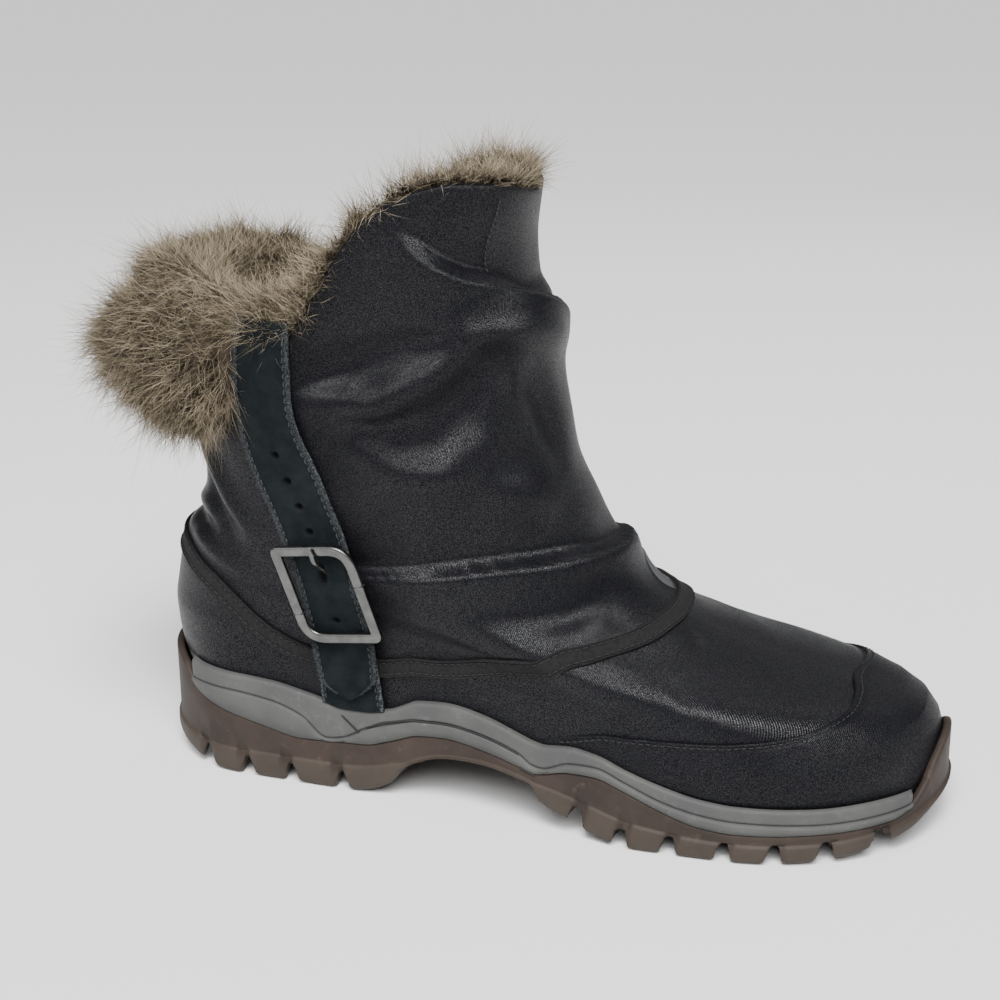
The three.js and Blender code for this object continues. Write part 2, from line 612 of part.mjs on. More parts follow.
// A punch through the straps at a run and a share across, as a prism with flat sides.
function punch(run, across, size, length) {
  const middle = sidePoint(strapLine, run, across, 0);
  const out = sidePoint(strapLine, run, across, 1).sub(middle).normalize();
  const down = sidePoint(strapLine, run + 0.02, across, 0).sub(middle).normalize();
  const side = new THREE.Vector3().crossVectors(out, down).normalize();
  const geometry = new THREE.CylinderGeometry(size / 2, size / 2, 12, 6).scale(1, 1, length);
  geometry.applyMatrix4(new THREE.Matrix4().makeBasis(side, out, down));
  return solidOf(geometry.translate(middle.x, middle.y, middle.z));
}

let strap = solidOf(patchWall(3, 22, strapFace(strapThickness), strapFace(0)));
for (const run of holeRuns) strap = strap.subtract(punch(run, 0, holeSize, 1));
strap = strap.subtract(punch(prongRun, -0.06, holeSize + 4 * seatGap, 2.2));
add('strap', geometryOf(strap), 0x14181c, 0.95);

const anchorFace = (lift) => (i, j) => sidePoint(anchorLine, j, 2 * i - 1, lift);
const anchor = solidOf(patchWall(3, 5, anchorFace(strapLift + anchorThickness), anchorFace(strapLift)));
add('strap_anchor', geometryOf(anchor.subtract(belowFeather)), 0x14181c, 0.95);

// Buckle: a leaning frame over the strap, with a hinge bar that passes under it, and a prong
const frameLift = strapLift + climbLift + strapThickness + 3 * seatGap;
const seat = onSide(footX(buckle.x), buckle.z * shaftHeight);
const buckleOut = lastNormal(seat.turn, seat.up);
const buckleUp = new THREE.Vector3(0, 0, 1).addScaledVector(buckleOut, -buckleOut.z).normalize();
const buckleSide = new THREE.Vector3().crossVectors(buckleUp, buckleOut);
const buckleMiddle = shell(seat.turn, seat.up, 0);

function direction(degrees, length) {
  const angle = THREE.MathUtils.degToRad(degrees);
  return new THREE.Vector2(Math.cos(angle), Math.sin(angle)).multiplyScalar(length);
}

// A leaning plate with two sharp corners and two round ones, from low to high over the boot.
function leaningPlate(width, height, corner, low, high) {
  const u = direction(buckle.across, width / 2);
  const v = direction(buckle.down, height / 2);
  const topRight = u.clone().sub(v);
  const lowLeft = v.clone().sub(u);
  const alongU = direction(buckle.across, corner);
  const alongV = direction(buckle.down, corner);
  const outline = new THREE.Shape().moveTo(-u.x - v.x, -u.y - v.y);
  outline.lineTo(topRight.x - alongU.x, topRight.y - alongU.y);
  outline.quadraticCurveTo(topRight.x, topRight.y, topRight.x + alongV.x, topRight.y + alongV.y);
  outline.lineTo(u.x + v.x, u.y + v.y);
  outline.lineTo(lowLeft.x + alongU.x, lowLeft.y + alongU.y);
  outline.quadraticCurveTo(lowLeft.x, lowLeft.y, lowLeft.x - alongV.x, lowLeft.y - alongV.y);
  const options = { depth: high - low, bevelEnabled: false, curveSegments: 4 };
  const plate = new THREE.ExtrudeGeometry(outline, options).translate(0, 0, low);
  return solidOf(plate.applyMatrix4(frameBasis));
}

const frameBasis = new THREE.Matrix4().makeBasis(buckleSide, buckleUp, buckleOut);
frameBasis.setPosition(buckleMiddle);
const innerWidth = frameWidth - 2 * frameBar;
const innerHeight = frameHeight - 2 * frameBar;
const frameTop = frameLift + frameThickness;
const plate = leaningPlate(frameWidth, frameHeight, frameCorner, frameLift, frameTop);
const opening = leaningPlate(innerWidth, innerHeight, frameCorner - frameBar, frameLift - 1, frameTop + 1);

// The hinge bar in side view: a bridge that dips under the strap from one side of the frame to
// the other.
const hingeSpan = innerWidth / 2 + frameBar * 0.9;
const hingePost = frameBar * 0.3;
const hingeLow = strapLift + seatGap - frameLift - frameThickness / 2;
const hingeShape = new THREE.Shape([
  new THREE.Vector2(-hingeSpan, 0),
  new THREE.Vector2(-hingeSpan, hingeLow - hingeSag),
  new THREE.Vector2(0, hingeLow),
  new THREE.Vector2(hingeSpan, hingeLow - hingeSag),
  new THREE.Vector2(hingeSpan, 0),
  new THREE.Vector2(hingeSpan - hingePost, 0),
  new THREE.Vector2(hingeSpan - hingePost, hingeLow + hingeThickness - hingeSag),
  new THREE.Vector2(0, hingeLow + hingeThickness),
  new THREE.Vector2(-hingeSpan + hingePost, hingeLow + hingeThickness - hingeSag),
  new THREE.Vector2(-hingeSpan + hingePost, 0),
]);
const hingeBody = new THREE.ExtrudeGeometry(hingeShape, { depth: hingeBar, bevelEnabled: false });
hingeBody.translate(0, frameLift + frameThickness / 2, -hingeBar / 2).rotateX(Math.PI / 2);
hingeBody.rotateZ(THREE.MathUtils.degToRad(buckle.hinge));
hingeBody.translate(0, -hingeDrop, 0).applyMatrix4(frameBasis);
const frame = plate.subtract(opening).add(solidOf(hingeBody));
add('buckle_frame', geometryOf(frame), 0x8d8f90, 0.3, 1);

const prongTip = frameHeight / 2 + hingeDrop + 0.5;
const prongStart = hingeBar / 2 + prongWidth / 4 + seatGap;
const prongShape = new THREE.Shape([
  new THREE.Vector2(prongStart, strapLift),
  new THREE.Vector2(prongTip * 0.42, strapLift),
  new THREE.Vector2(prongTip * 0.62, frameLift - seatGap),
  new THREE.Vector2(prongTip * 0.74, frameLift + frameThickness + seatGap),
  new THREE.Vector2(prongTip, frameLift + frameThickness + seatGap),
  new THREE.Vector2(prongTip, frameLift + frameThickness + 1.2),
  new THREE.Vector2(prongTip * 0.66, frameLift + frameThickness + 1.4),
  new THREE.Vector2(prongTip * 0.4, strapLift + anchorThickness),
  new THREE.Vector2(prongStart, strapLift + anchorThickness),
]);
const prongBody = new THREE.ExtrudeGeometry(prongShape, { depth: prongWidth, bevelEnabled: false });
prongBody.translate(0, 0, -prongWidth / 2).rotateX(Math.PI / 2);
prongBody.rotateZ(THREE.MathUtils.degToRad(buckle.prong));
prongBody.translate(0, -hingeDrop, 0).applyMatrix4(frameBasis);
add('buckle_prong', geometryOf(solidOf(prongBody)), 0x8d8f90, 0.3, 1);

// Fur: one lock is a bent spike of three sides, fused onto a body
function lockSolid(root, way, length, width, droop) {
  const side = new THREE.Vector3(-way.y, way.x, 0.01).normalize();
  const over = new THREE.Vector3().crossVectors(way, side).normalize();
  const bend = new THREE.Vector3(0, 0, -droop);
  const points = [];
  for (const [reach, girth, sag] of [
    [-0.2, 1, 0],
    [0.5, 0.65, 0.35],
  ])
    for (let k = 0; k < 3; k++) {
      const angle = (2 * Math.PI * k) / 3;
      const p = root.clone().addScaledVector(way, reach * length).addScaledVector(bend, sag);
      p.addScaledVector(side, (Math.cos(angle) * girth * width) / 2);
      points.push(p.addScaledVector(over, (Math.sin(angle) * girth * width) / 2));
    }
  points.push(root.clone().addScaledVector(way, length).add(bend));
  const faces = [[0, 2, 1]];
  for (let k = 0; k < 3; k++) {
    const next = (k + 1) % 3;
    faces.push(...quad(k, next, 3 + next, 3 + k));
    faces.push([3 + k, 3 + next, 6]);
  }
  return solidOf(closedGeometry(points, faces));
}

// Shares between 0 and 1 that look scattered but are the same each time.
const scatter = (k, ratio) => (k * ratio) % 1;

// Lining: pile inside the shaft that stands over the fabric's edge
const liningAround = 30;
const liningRise = 4;
const liningFoot = 0.1; // how far it reaches down inside, as a share of the last's height
function liningUp(turn, j) {
  const edge = collarTop(turn);
  const top = edge + column(collar, 'turn', 'pile', foldTurn(turn));
  return edge - liningFoot + (top - edge + liningFoot) * j;
}

function liningFace(lift, curl) {
  return (i, j) => {
    const lean = Math.max(0, j - 0.7) / 0.3;
    return shell(360 * i, liningUp(360 * i, j), lift + curl * lean * lean);
  };
}

const liningOut = -upperWall - 2 * seatGap;
let lining = solidOf(
  ringWall(liningAround, liningRise, liningFace(liningOut, -1), liningFace(liningOut - liningPile, 3)),
);
const rimLocks = 30;
for (let k = 0; k < rimLocks; k++) {
  const turn = (360 * (k + 0.5)) / rimLocks;
  if (foldTurn(turn) > 112) continue;
  const root = shell(turn, liningUp(turn, 1), liningOut - liningPile / 2);
  const way = lastNormal(turn, 0.9).setZ(0).normalize();
  way.multiplyScalar(0.2 + 0.9 * scatter(k, 0.618)).setZ(1).normalize();
  const length = lockLength * (0.45 + 0.35 * scatter(k, 0.414));
  lining = lining.add(lockSolid(root, way, length, lockWidth, 0));
}
const liningKeep = solidOf(
  ringWall(liningAround, 2, liningFace(seatGap / 2, 0), liningFace(-3 * liningPile, 0)),
);
add('fur_lining', geometryOf(lining), 0x6b5d4c, 1);

// Cuff: the lining turned out behind, a thick roll that hangs over the back of the shaft
const cuffRings = 12;
const cuffPoints = 9;
const cuffStart = cuff[0].turn;
function cuffPoint(share, around, grow) {
  const turn = cuffStart + (360 - 2 * cuffStart) * share;
  const row = (name) => column(cuff, 'turn', name, foldTurn(turn));
  const low = row('low') * shaftHeight;
  const high = row('high') * shaftHeight;
  const out = lastNormal(turn, 0.7).setZ(0).normalize();
  const angle = 2 * Math.PI * around;
  const reach = row('out') * ballWidth;
  const p = lastPoint(turn, 0.7).addScaledVector(out, reach * (0.42 + 0.58 * Math.cos(angle)) + grow);
  return p.setZ((low + high) / 2 + ((high - low) / 2 + grow) * Math.sin(angle));
}

const cuffLoops = [];
for (let r = 0; r < cuffRings; r++)
  for (let k = 0; k < cuffPoints; k++)
    cuffLoops.push(cuffPoint(r / (cuffRings - 1), k / cuffPoints, 0));
const cuffFaces = [];
for (let r = 0; r + 1 < cuffRings; r++)
  for (let k = 0; k < cuffPoints; k++) {
    const next = (k + 1) % cuffPoints;
    const a = r * cuffPoints;
    const b = a + cuffPoints;
    cuffFaces.push(...quad(a + k, a + next, b + next, b + k));
  }
for (let k = 1; k + 1 < cuffPoints; k++) {
  const end = (cuffRings - 1) * cuffPoints;
  cuffFaces.push([0, k + 1, k], [end, end + k, end + k + 1]);
}
let fur = solidOf(closedGeometry(cuffLoops, cuffFaces));
const cuffLocks = 50;
for (let k = 0; k < cuffLocks; k++) {
  const share = 0.03 + 0.94 * ((k + 0.5) / cuffLocks);
  const around = -0.3 + 0.6 * scatter(k, 0.618);
  const root = cuffPoint(share, around, -1);
  const way = cuffPoint(share, around, 4).sub(root);
  way.add(new THREE.Vector3(0, 0, 2.2 * scatter(k, 0.7548) - 1.6)).normalize();
  const length = lockLength * (0.6 + 0.5 * scatter(k, 0.5698));
  fur = fur.add(lockSolid(root, way, length, lockWidth, length * 0.25));
}
const keepOff = grownForm(seatGap).add(liningKeep);
add('fur_cuff', geometryOf(fur.subtract(keepOff)), 0x6b5d4c, 1);

export default boot;
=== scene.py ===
"""The looks of a right-foot winter ankle boot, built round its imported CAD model.

Lengths are in millimetres until a mesh is made, in the model's own frame: +X to the toe, +Y to the
inner side, +Z up. Most surfaces are read from the last by two numbers: turn, in degrees round from
the front by way of the outer side, and up, a share of the way from the feather line to the top."""

import bmesh
import bpy
import numpy as np
from mathutils import Matrix


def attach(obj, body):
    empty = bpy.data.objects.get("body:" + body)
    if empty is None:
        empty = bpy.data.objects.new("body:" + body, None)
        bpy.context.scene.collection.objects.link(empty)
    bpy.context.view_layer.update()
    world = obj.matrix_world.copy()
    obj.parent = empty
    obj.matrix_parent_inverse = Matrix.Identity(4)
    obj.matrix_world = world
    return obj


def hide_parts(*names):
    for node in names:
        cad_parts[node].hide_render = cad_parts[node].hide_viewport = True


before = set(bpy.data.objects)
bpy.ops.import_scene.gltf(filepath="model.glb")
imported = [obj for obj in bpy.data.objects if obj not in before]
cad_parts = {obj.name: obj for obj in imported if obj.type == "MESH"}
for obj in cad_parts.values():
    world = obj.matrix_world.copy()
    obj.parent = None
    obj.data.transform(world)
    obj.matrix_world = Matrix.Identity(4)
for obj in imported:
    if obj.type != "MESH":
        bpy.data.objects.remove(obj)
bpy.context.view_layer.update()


# Upper
# One tall bootee of black satin nylon on thin wadding, pulled over the last and cemented to the
# sole. Its cloth is slack: it hangs in soft troughs round the ankle and creases at the heel.
foot_length = 277.0
heel_setback = 30.0
ball_width = 94.0
shaft_height = 222.0
heel_rise = 37.0
toe_swing = 8.0
wall = 2.6
map_round = 0.62  # what the cloth's map gains in one turn round the boot, in metres

plan = np.array([  # along, lateral, medial
    (0.0, 0.33, 0.33), (0.11, 0.355, 0.335), (0.24, 0.365, 0.33), (0.4, 0.37, 0.315),
    (0.55, 0.445, 0.36), (0.67, 0.505, 0.435), (0.77, 0.51, 0.475), (0.86, 0.485, 0.475),
    (0.94, 0.45, 0.455), (1.0, 0.42, 0.435),
])
# along; then the feather line, the midsole's groove, the rubber rim, the midsole's seat, the
# ledge over the lugs and the tread, as shares of the heel's rise
side = np.array([
    (-0.03, 1.12, 0.88, 1.13, 0.46, 0.36, 0.3), (0.0, 1.1, 0.87, 1.08, 0.46, 0.33, 0.2),
    (0.03, 1.08, 0.86, 0.98, 0.46, 0.3, 0.12), (0.06, 1.04, 0.86, 0.77, 0.46, 0.27, 0.06),
    (0.1, 1.03, 0.86, 0.66, 0.46, 0.25, 0.0), (0.17, 1.0, 0.81, 0.53, 0.46, 0.25, 0.0),
    (0.214, 0.94, 0.7, 0.47, 0.47, 0.25, 0.0), (0.25, 0.88, 0.5, 0.48, 0.48, 0.25, 0.0),
    (0.275, 0.84, 0.54, 0.49, 0.49, 0.25, 0.0), (0.304, 0.84, 0.66, 0.5, 0.5, 0.27, 0.03),
    (0.333, 0.87, 0.73, 0.56, 0.56, 0.32, 0.12), (0.355, 0.94, 0.78, 0.62, 0.62, 0.36, 0.3),
    (0.37, 0.99, 0.81, 0.66, 0.66, 0.42, 0.38), (0.41, 1.01, 0.82, 0.68, 0.68, 0.5, 0.48),
    (0.46, 0.96, 0.78, 0.64, 0.64, 0.51, 0.5), (0.51, 0.86, 0.69, 0.57, 0.57, 0.48, 0.46),
    (0.53, 0.82, 0.6, 0.53, 0.53, 0.44, 0.42), (0.54, 0.81, 0.59, 0.54, 0.54, 0.43, 0.27),
    (0.58, 0.85, 0.7, 0.62, 0.62, 0.38, 0.15), (0.612, 0.83, 0.72, 0.635, 0.635, 0.33, 0.06),
    (0.65, 0.74, 0.63, 0.555, 0.555, 0.26, 0.0), (0.696, 0.63, 0.49, 0.41, 0.41, 0.21, 0.0),
    (0.74, 0.55, 0.41, 0.305, 0.305, 0.18, 0.0), (0.78, 0.52, 0.38, 0.275, 0.275, 0.17, 0.0),
    (0.88, 0.51, 0.37, 0.29, 0.29, 0.19, 0.03), (0.95, 0.52, 0.385, 0.31, 0.31, 0.24, 0.11),
    (0.975, 0.52, 0.4, 0.38, 0.33, 0.28, 0.17), (0.99, 0.51, 0.42, 0.54, 0.35, 0.33, 0.26),
    (1.0, 0.51, 0.43, 0.74, 0.37, 0.37, 0.33), (1.02, 0.51, 0.44, 0.95, 0.4, 0.44, 0.42),
])
FEATHER, GROOVE, RIM, SEAT, LEDGE, TREAD = range(1, 7)
# front x and z, back x and z, lateral, medial, heel, toe, foot
levels = np.array([
    (1, 0.086, 0, 0.182, 0.46, 0.43, 0.13, 0.2, 1),
    (1, 0.131, -0.007, 0.221, 0.46, 0.43, 0.14, 0.22, 1),
    (0.998, 0.171, -0.009, 0.257, 0.46, 0.43, 0.15, 0.25, 0.96),
    (0.982, 0.194, -0.005, 0.288, 0.46, 0.43, 0.17, 0.29, 0.9),
    (0.937, 0.209, 0, 0.318, 0.46, 0.43, 0.19, 0.33, 0.82),
    (0.874, 0.216, 0.005, 0.345, 0.455, 0.43, 0.22, 0.37, 0.7),
    (0.794, 0.236, 0.011, 0.367, 0.45, 0.43, 0.25, 0.41, 0.55),
    (0.715, 0.277, 0.018, 0.39, 0.445, 0.43, 0.29, 0.44, 0.4),
    (0.65, 0.324, 0.036, 0.412, 0.445, 0.43, 0.34, 0.46, 0.25),
    (0.603, 0.381, 0.045, 0.441, 0.45, 0.43, 0.4, 0.48, 0.12),
    (0.567, 0.455, 0.049, 0.482, 0.455, 0.435, 0.44, 0.49, 0.04),
    (0.536, 0.545, 0.051, 0.532, 0.465, 0.44, 0.47, 0.5, 0),
    (0.52, 0.646, 0.049, 0.586, 0.475, 0.45, 0.49, 0.5, 0),
    (0.514, 0.725, 0.045, 0.635, 0.48, 0.455, 0.5, 0.5, 0),
    (0.505, 0.777, 0.042, 0.676, 0.48, 0.455, 0.5, 0.5, 0),
    (0.487, 0.815, 0.038, 0.712, 0.475, 0.45, 0.5, 0.5, 0),
    (0.482, 0.869, 0.034, 0.748, 0.47, 0.445, 0.5, 0.5, 0),
    (0.489, 0.941, 0.031, 0.793, 0.465, 0.44, 0.5, 0.5, 0),
    (0.493, 1, 0.029, 0.829, 0.46, 0.435, 0.5, 0.5, 0),
    (0.495, 1.059, 0.027, 0.869, 0.455, 0.43, 0.5, 0.5, 0),
])
levels = np.column_stack([np.linspace(0, 1, len(levels)), levels])
# turn, the collar edge's share of the height, and how far the pile stands over it
collar = np.array([
    (0, 0.893, 0.01), (28, 0.915, 0.01), (53, 0.935, 0.01), (64, 0.932, 0.012),
    (74, 0.91, 0.015), (81, 0.875, 0.02), (88, 0.828, 0.035), (100, 0.761, 0.07),
    (112, 0.75, 0.09), (145, 0.78, 0.1), (180, 0.8, 0.1),
])


def column(rows, name, at):
    """A table's column at a key: a cubic between rows whose slope at a row is the harmonic mean
    of the slopes on both sides, or nothing at a turning point, so it never overshoots."""
    x, y = rows[:, 0], rows[:, name]
    at = np.clip(at, x[0], x[-1])
    secant = np.diff(y) / np.diff(x)
    before, after = secant[:-1], secant[1:]
    same = before * after > 0
    slope = np.zeros(len(y))
    slope[1:-1][same] = 2 * before[same] * after[same] / (before[same] + after[same])
    i = np.clip(np.searchsorted(x, at, side="right") - 1, 0, len(x) - 2)
    width = x[i + 1] - x[i]
    f = (at - x[i]) / width
    g = 1 - f
    ends = y[i] * g * g * (1 + 2 * f) + y[i + 1] * f * f * (1 + 2 * g)
    return ends + width * f * g * (g * slope[i] - f * slope[i + 1])


def bare_last(turn, up):
    """A point on the last: along runs as the cosine of turn, the breadth is the table's half
    width closed at both ends by a superellipse, and near the sole the height follows the
    feather line's wave, which fades out quadratically."""
    turn, up = np.broadcast_arrays(np.asarray(turn, float), np.asarray(up, float))
    angle = np.radians(turn)
    along = (1 + np.cos(angle)) / 2
    x1, z1, x0, z0, lateral, medial, heel, toe, foot = (
        column(levels, k, up) for k in range(1, 10)
    )
    outer = np.sin(angle) >= 0
    flat_foot = np.where(outer, column(plan, 1, along), column(plan, 2, along))
    half = foot * flat_foot + (1 - foot) * np.where(outer, lateral, medial)
    swing = toe_swing * foot * np.maximum(0, 2 * along - 1) ** 2
    flat = levels[0, 4] + along * (levels[0, 2] - levels[0, 4])
    wave = heel_rise * column(side, FEATHER, along) - flat * shaft_height
    heel_end = np.maximum(0, 1 - along / heel) ** 2.2
    toe_end = np.maximum(0, (along - 1 + toe) / toe) ** 2.3
    closing = np.maximum(0, 1 - heel_end) ** (1 / 2.2) * np.maximum(0, 1 - toe_end) ** (1 / 2.3)
    x = (x0 + along * (x1 - x0)) * foot_length - heel_setback
    y = swing + np.where(outer, -1, 1) * half * ball_width * closing
    z = (z0 + along * (z1 - z0)) * shaft_height + np.maximum(0, 1 - up / 0.28) ** 2 * wave
    return np.stack([x, y, z], -1)


def last(turn, up):
    """The last with a rounder vamp: there each point is the weighted mean of five points spread
    over a reach up and down, which shrinks to nothing at the sole, the throat and the shank."""
    turn, up = np.broadcast_arrays(np.asarray(turn, float), np.asarray(up, float))
    fold = np.abs(np.mod(turn + 180, 360) - 180)
    reach = 0.085 * np.clip(up / 0.09, 0, 1) * np.clip((0.42 - up) / 0.1, 0, 1)
    reach = reach * np.clip((90 - fold) / 18, 0, 1)
    if not reach.any():
        return bare_last(turn, up)
    spread = ((-1, 1), (-0.5, 2), (0, 3), (0.5, 2), (1, 1))
    return sum(weight / 9 * bare_last(turn, up + shift * reach) for shift, weight in spread)


def unit(vectors):
    """Vectors scaled to length one."""
    return vectors / np.maximum(np.linalg.norm(vectors, axis=-1, keepdims=True), 1e-9)


def last_normal(turn, up):
    """Outward normal of the last: the cross product of its two central differences."""
    high = np.minimum(1, np.asarray(up, float) + 0.012)
    low = np.maximum(0, np.asarray(up, float) - 0.012)
    around = last(np.asarray(turn, float) + 1.5, up) - last(np.asarray(turn, float) - 1.5, up)
    return -unit(np.cross(around, last(turn, high) - last(turn, low)))


def fold_turn(turn):
    """Degrees round from the front, the same on both sides of the boot."""
    turn = np.mod(turn, 360)
    return np.where(turn > 180, 360 - turn, turn)


def collar_top(turn):
    return column(collar, 1, fold_turn(turn))


# Each fold: how far it reaches above and below its line, then turn, up and height along the
# line, from back to front. A height below nothing is a trough.
folds = [
    (1.7, 13, [(66, 0.895, 1), (56, 0.87, 2.2), (49, 0.85, 3), (39, 0.825, 3.4), (24, 0.80, 3.6),
               (7, 0.755, 4.6), (-12, 0.715, 3.6), (-30, 0.70, 1)]),
    (12, 1.7, [(62, 0.89, -1), (56, 0.87, -1.8), (49, 0.85, -2.6), (39, 0.825, -3), (24, 0.80, -3),
               (7, 0.755, -2.4), (-12, 0.715, -1.5), (-24, 0.70, -1)]),
    (10, 7, [(108, 0.66, -2), (92, 0.685, -4.5), (80, 0.705, -5.5), (66, 0.72, -5), (54, 0.715, -2.5),
             (48, 0.71, -1)]),
    (4, 8, [(108, 0.65, 1.5), (93, 0.66, 3.2), (84, 0.655, 3.6), (77, 0.648, 3.4), (68, 0.657, 3.8),
            (56, 0.68, 3.8), (44, 0.72, 2)]),
    (3.5, 4, [(88, 0.636, -0.8), (78, 0.626, -1.8), (70, 0.63, -2), (60, 0.645, -1.5)]),
    (10, 8, [(72, 0.615, -1.5), (56, 0.63, -3.4), (46, 0.65, -4.5), (36, 0.675, -4), (26, 0.70, -2)]),
    (5, 9, [(94, 0.61, 1), (82, 0.60, 3.2), (72, 0.588, 4.2), (62, 0.585, 4.4), (52, 0.597, 3.6),
            (42, 0.62, 1.5)]),
    (5, 6, [(54, 0.725, 1), (38, 0.712, 2.4), (22, 0.708, 3), (6, 0.69, 2.4), (-12, 0.66, 1)]),
    (7, 7, [(28, 0.67, -2), (17, 0.64, -3), (12, 0.60, -2.5), (10, 0.56, -1)]),
    (7, 9, [(104, 0.53, 0.6), (88, 0.555, 2), (67, 0.572, 2.6), (45, 0.565, 2.6), (18, 0.535, 2)]),
    (13, 1.7, [(108, 0.405, -1.5), (92, 0.435, -2.4), (78, 0.458, -3), (63, 0.478, -3.4),
               (46, 0.49, -3.6), (25, 0.495, -3.2), (3, 0.49, -2.4), (-18, 0.48, -1.2)]),
    (1.7, 10, [(108, 0.405, 1.5), (92, 0.435, 2.6), (78, 0.458, 2.8), (63, 0.478, 2.8), (46, 0.49, 3),
               (25, 0.495, 3.6), (3, 0.49, 4.6), (-18, 0.48, 4.2), (-40, 0.475, 2)]),
    (5, 7, [(88, 0.385, -0.4), (70, 0.395, -1.2), (57, 0.405, -1.4), (40, 0.42, -1.2), (22, 0.43, -0.6)]),
    (5, 6, [(70, 0.35, 0.4), (54, 0.375, 1.4), (42, 0.40, 1.6), (30, 0.42, 0.8)]),
    (4, 5, [(180, 0.46, 1.5), (172, 0.455, 2.2), (160, 0.47, 2.2), (148, 0.47, 1.8), (136, 0.45, 0.6)]),
    (3, 3, [(180, 0.425, -1), (170, 0.428, -2), (160, 0.428, -2.2), (150, 0.424, -1.6), (140, 0.41, -0.4)]),
    (5, 5, [(170, 0.63, 0.5), (152, 0.585, 2), (140, 0.53, 2.4), (130, 0.475, 1.8), (122, 0.43, 0.4)]),
    (5, 5, [(162, 0.575, -0.6), (147, 0.52, -2.2), (137, 0.47, -1.8), (128, 0.42, -0.4)]),
    (4, 4, [(162, 0.40, 0), (148, 0.375, 1.3), (137, 0.34, 1.2), (126, 0.29, 0.2)]),
    (2.2, 3, [(56, 0.26, -0.2), (63, 0.18, -0.8), (68, 0.11, -0.9), (70, 0.05, -0.5)]),
    (2.2, 3, [(65, 0.22, -0.2), (71, 0.14, -0.7), (75, 0.06, -0.5)]),
    (2.4, 3, [(79, 0.17, 0.2), (85, 0.09, 0.8), (90, 0.035, 0.4)]),
    (2.4, 3, [(83, 0.165, 0.2), (91, 0.075, 0.8), (96, 0.025, 0.4)]),
    (2.5, 3.5, [(4, 0.41, -0.2), (18, 0.36, -0.7), (32, 0.33, -0.4)]),
    (2.5, 3.5, [(44, 0.32, -0.2), (53, 0.25, -0.7), (59, 0.17, -0.5)]),
    (2, 3, [(51, 0.14, -0.2), (55, 0.095, -0.6), (59, 0.05, -0.3)]),
]


def slack(points, normals):
    """How far the cloth stands off the last: near each fold's line its height times a bell of the
    distance, whose breadth differs on the two sides, and a faint unevenness everywhere. The line
    is a curve of small steps, and its steps near a point are blended by their closeness. The
    inner side of the boot has the same folds a little lower and softer."""
    height = np.zeros(len(points))
    for mirror in (False, True):
        for above, below, rows in folds:
            rows = np.array(rows, float)
            if mirror:
                rows[:, 0] = 360 - rows[:, 0] + 4 * np.sin(rows[:, 1] * 23)
                rows[:, 1] -= 0.012
                rows[:, 2] *= 0.85
                if np.abs(rows[:, 0] - 360).min() < 22:
                    continue
            key = np.linspace(0, len(rows) - 1, 10 * len(rows))
            keyed = np.column_stack([np.arange(len(rows)), rows])
            turns, ups, high = (column(keyed, k, key) for k in (1, 2, 3))
            ends = np.clip(np.minimum(key, len(rows) - 1 - key) / 0.9, 0, 1)
            high = high * ends * ends * (3 - 2 * ends)
            path = last(turns, ups)
            run = unit(np.gradient(path, axis=0))
            reach = 2.6 * max(above, below)
            near = ((points > path.min(0) - reach) & (points < path.max(0) + reach)).all(1)
            inside = np.where(near)[0]
            if not len(inside):
                continue
            p, n = points[inside], normals[inside]
            gap = p[:, None] - path[None]
            square = (gap**2).sum(-1)
            least = square.min(1, keepdims=True)
            weight = np.exp(-(square - least) / 5.0)
            weight /= weight.sum(1, keepdims=True)
            value = weight @ high
            side_way = (np.cross(run[None], gap) * n[:, None]).sum(-1)
            signed = (weight * side_way).sum(1) * (-1 if mirror else 1)
            width = below + (above - below) * np.clip(signed / 1.5 + 0.5, 0, 1)
            height[inside] += value * np.exp(-least[:, 0] / width**2)
    x, y, z = points.T
    uneven = np.sin(x / 9 + z / 14) + np.sin(z / 7 - y / 11 + 2) + np.sin(x / 5 - z / 6 + y / 13)
    calm = np.clip(z / 60 - 0.5, 0.25, 1)
    return height + 0.16 * uneven * calm


def cloth(turn, up, lift=0.0):
    """The cloth's outer face at a turn and up: the last, moved along its normal by the folds and
    by a lift. At the sole and at the collar's edge the folds fade out."""
    turn, up = np.broadcast_arrays(np.asarray(turn, float), np.asarray(up, float))
    points = last(turn, up).reshape(-1, 3)
    normals = last_normal(turn, up).reshape(-1, 3)
    fade = np.clip(up / 0.05, 0, 1) * np.clip((collar_top(turn) + 0.03 - up) / 0.05, 0.2, 1)
    off = slack(points, normals) * fade.ravel()
    moved = points + normals * (off + np.broadcast_to(lift, turn.shape).ravel())[:, None]
    return moved.reshape(turn.shape + (3,))


def quads_over(rows, cols, wrap):
    """Corner numbers of a grid's quads, closed on itself across when wrap is true. They face the
    side from which the rows are seen to run up and the columns to run to the left."""
    index = np.arange(rows * cols).reshape(rows, cols)
    here, next_one = (index, np.roll(index, -1, 1)) if wrap else (index[:, :-1], index[:, 1:])
    return np.stack([here[:-1], here[1:], next_one[1:], next_one[:-1]], -1).reshape(-1, 4)


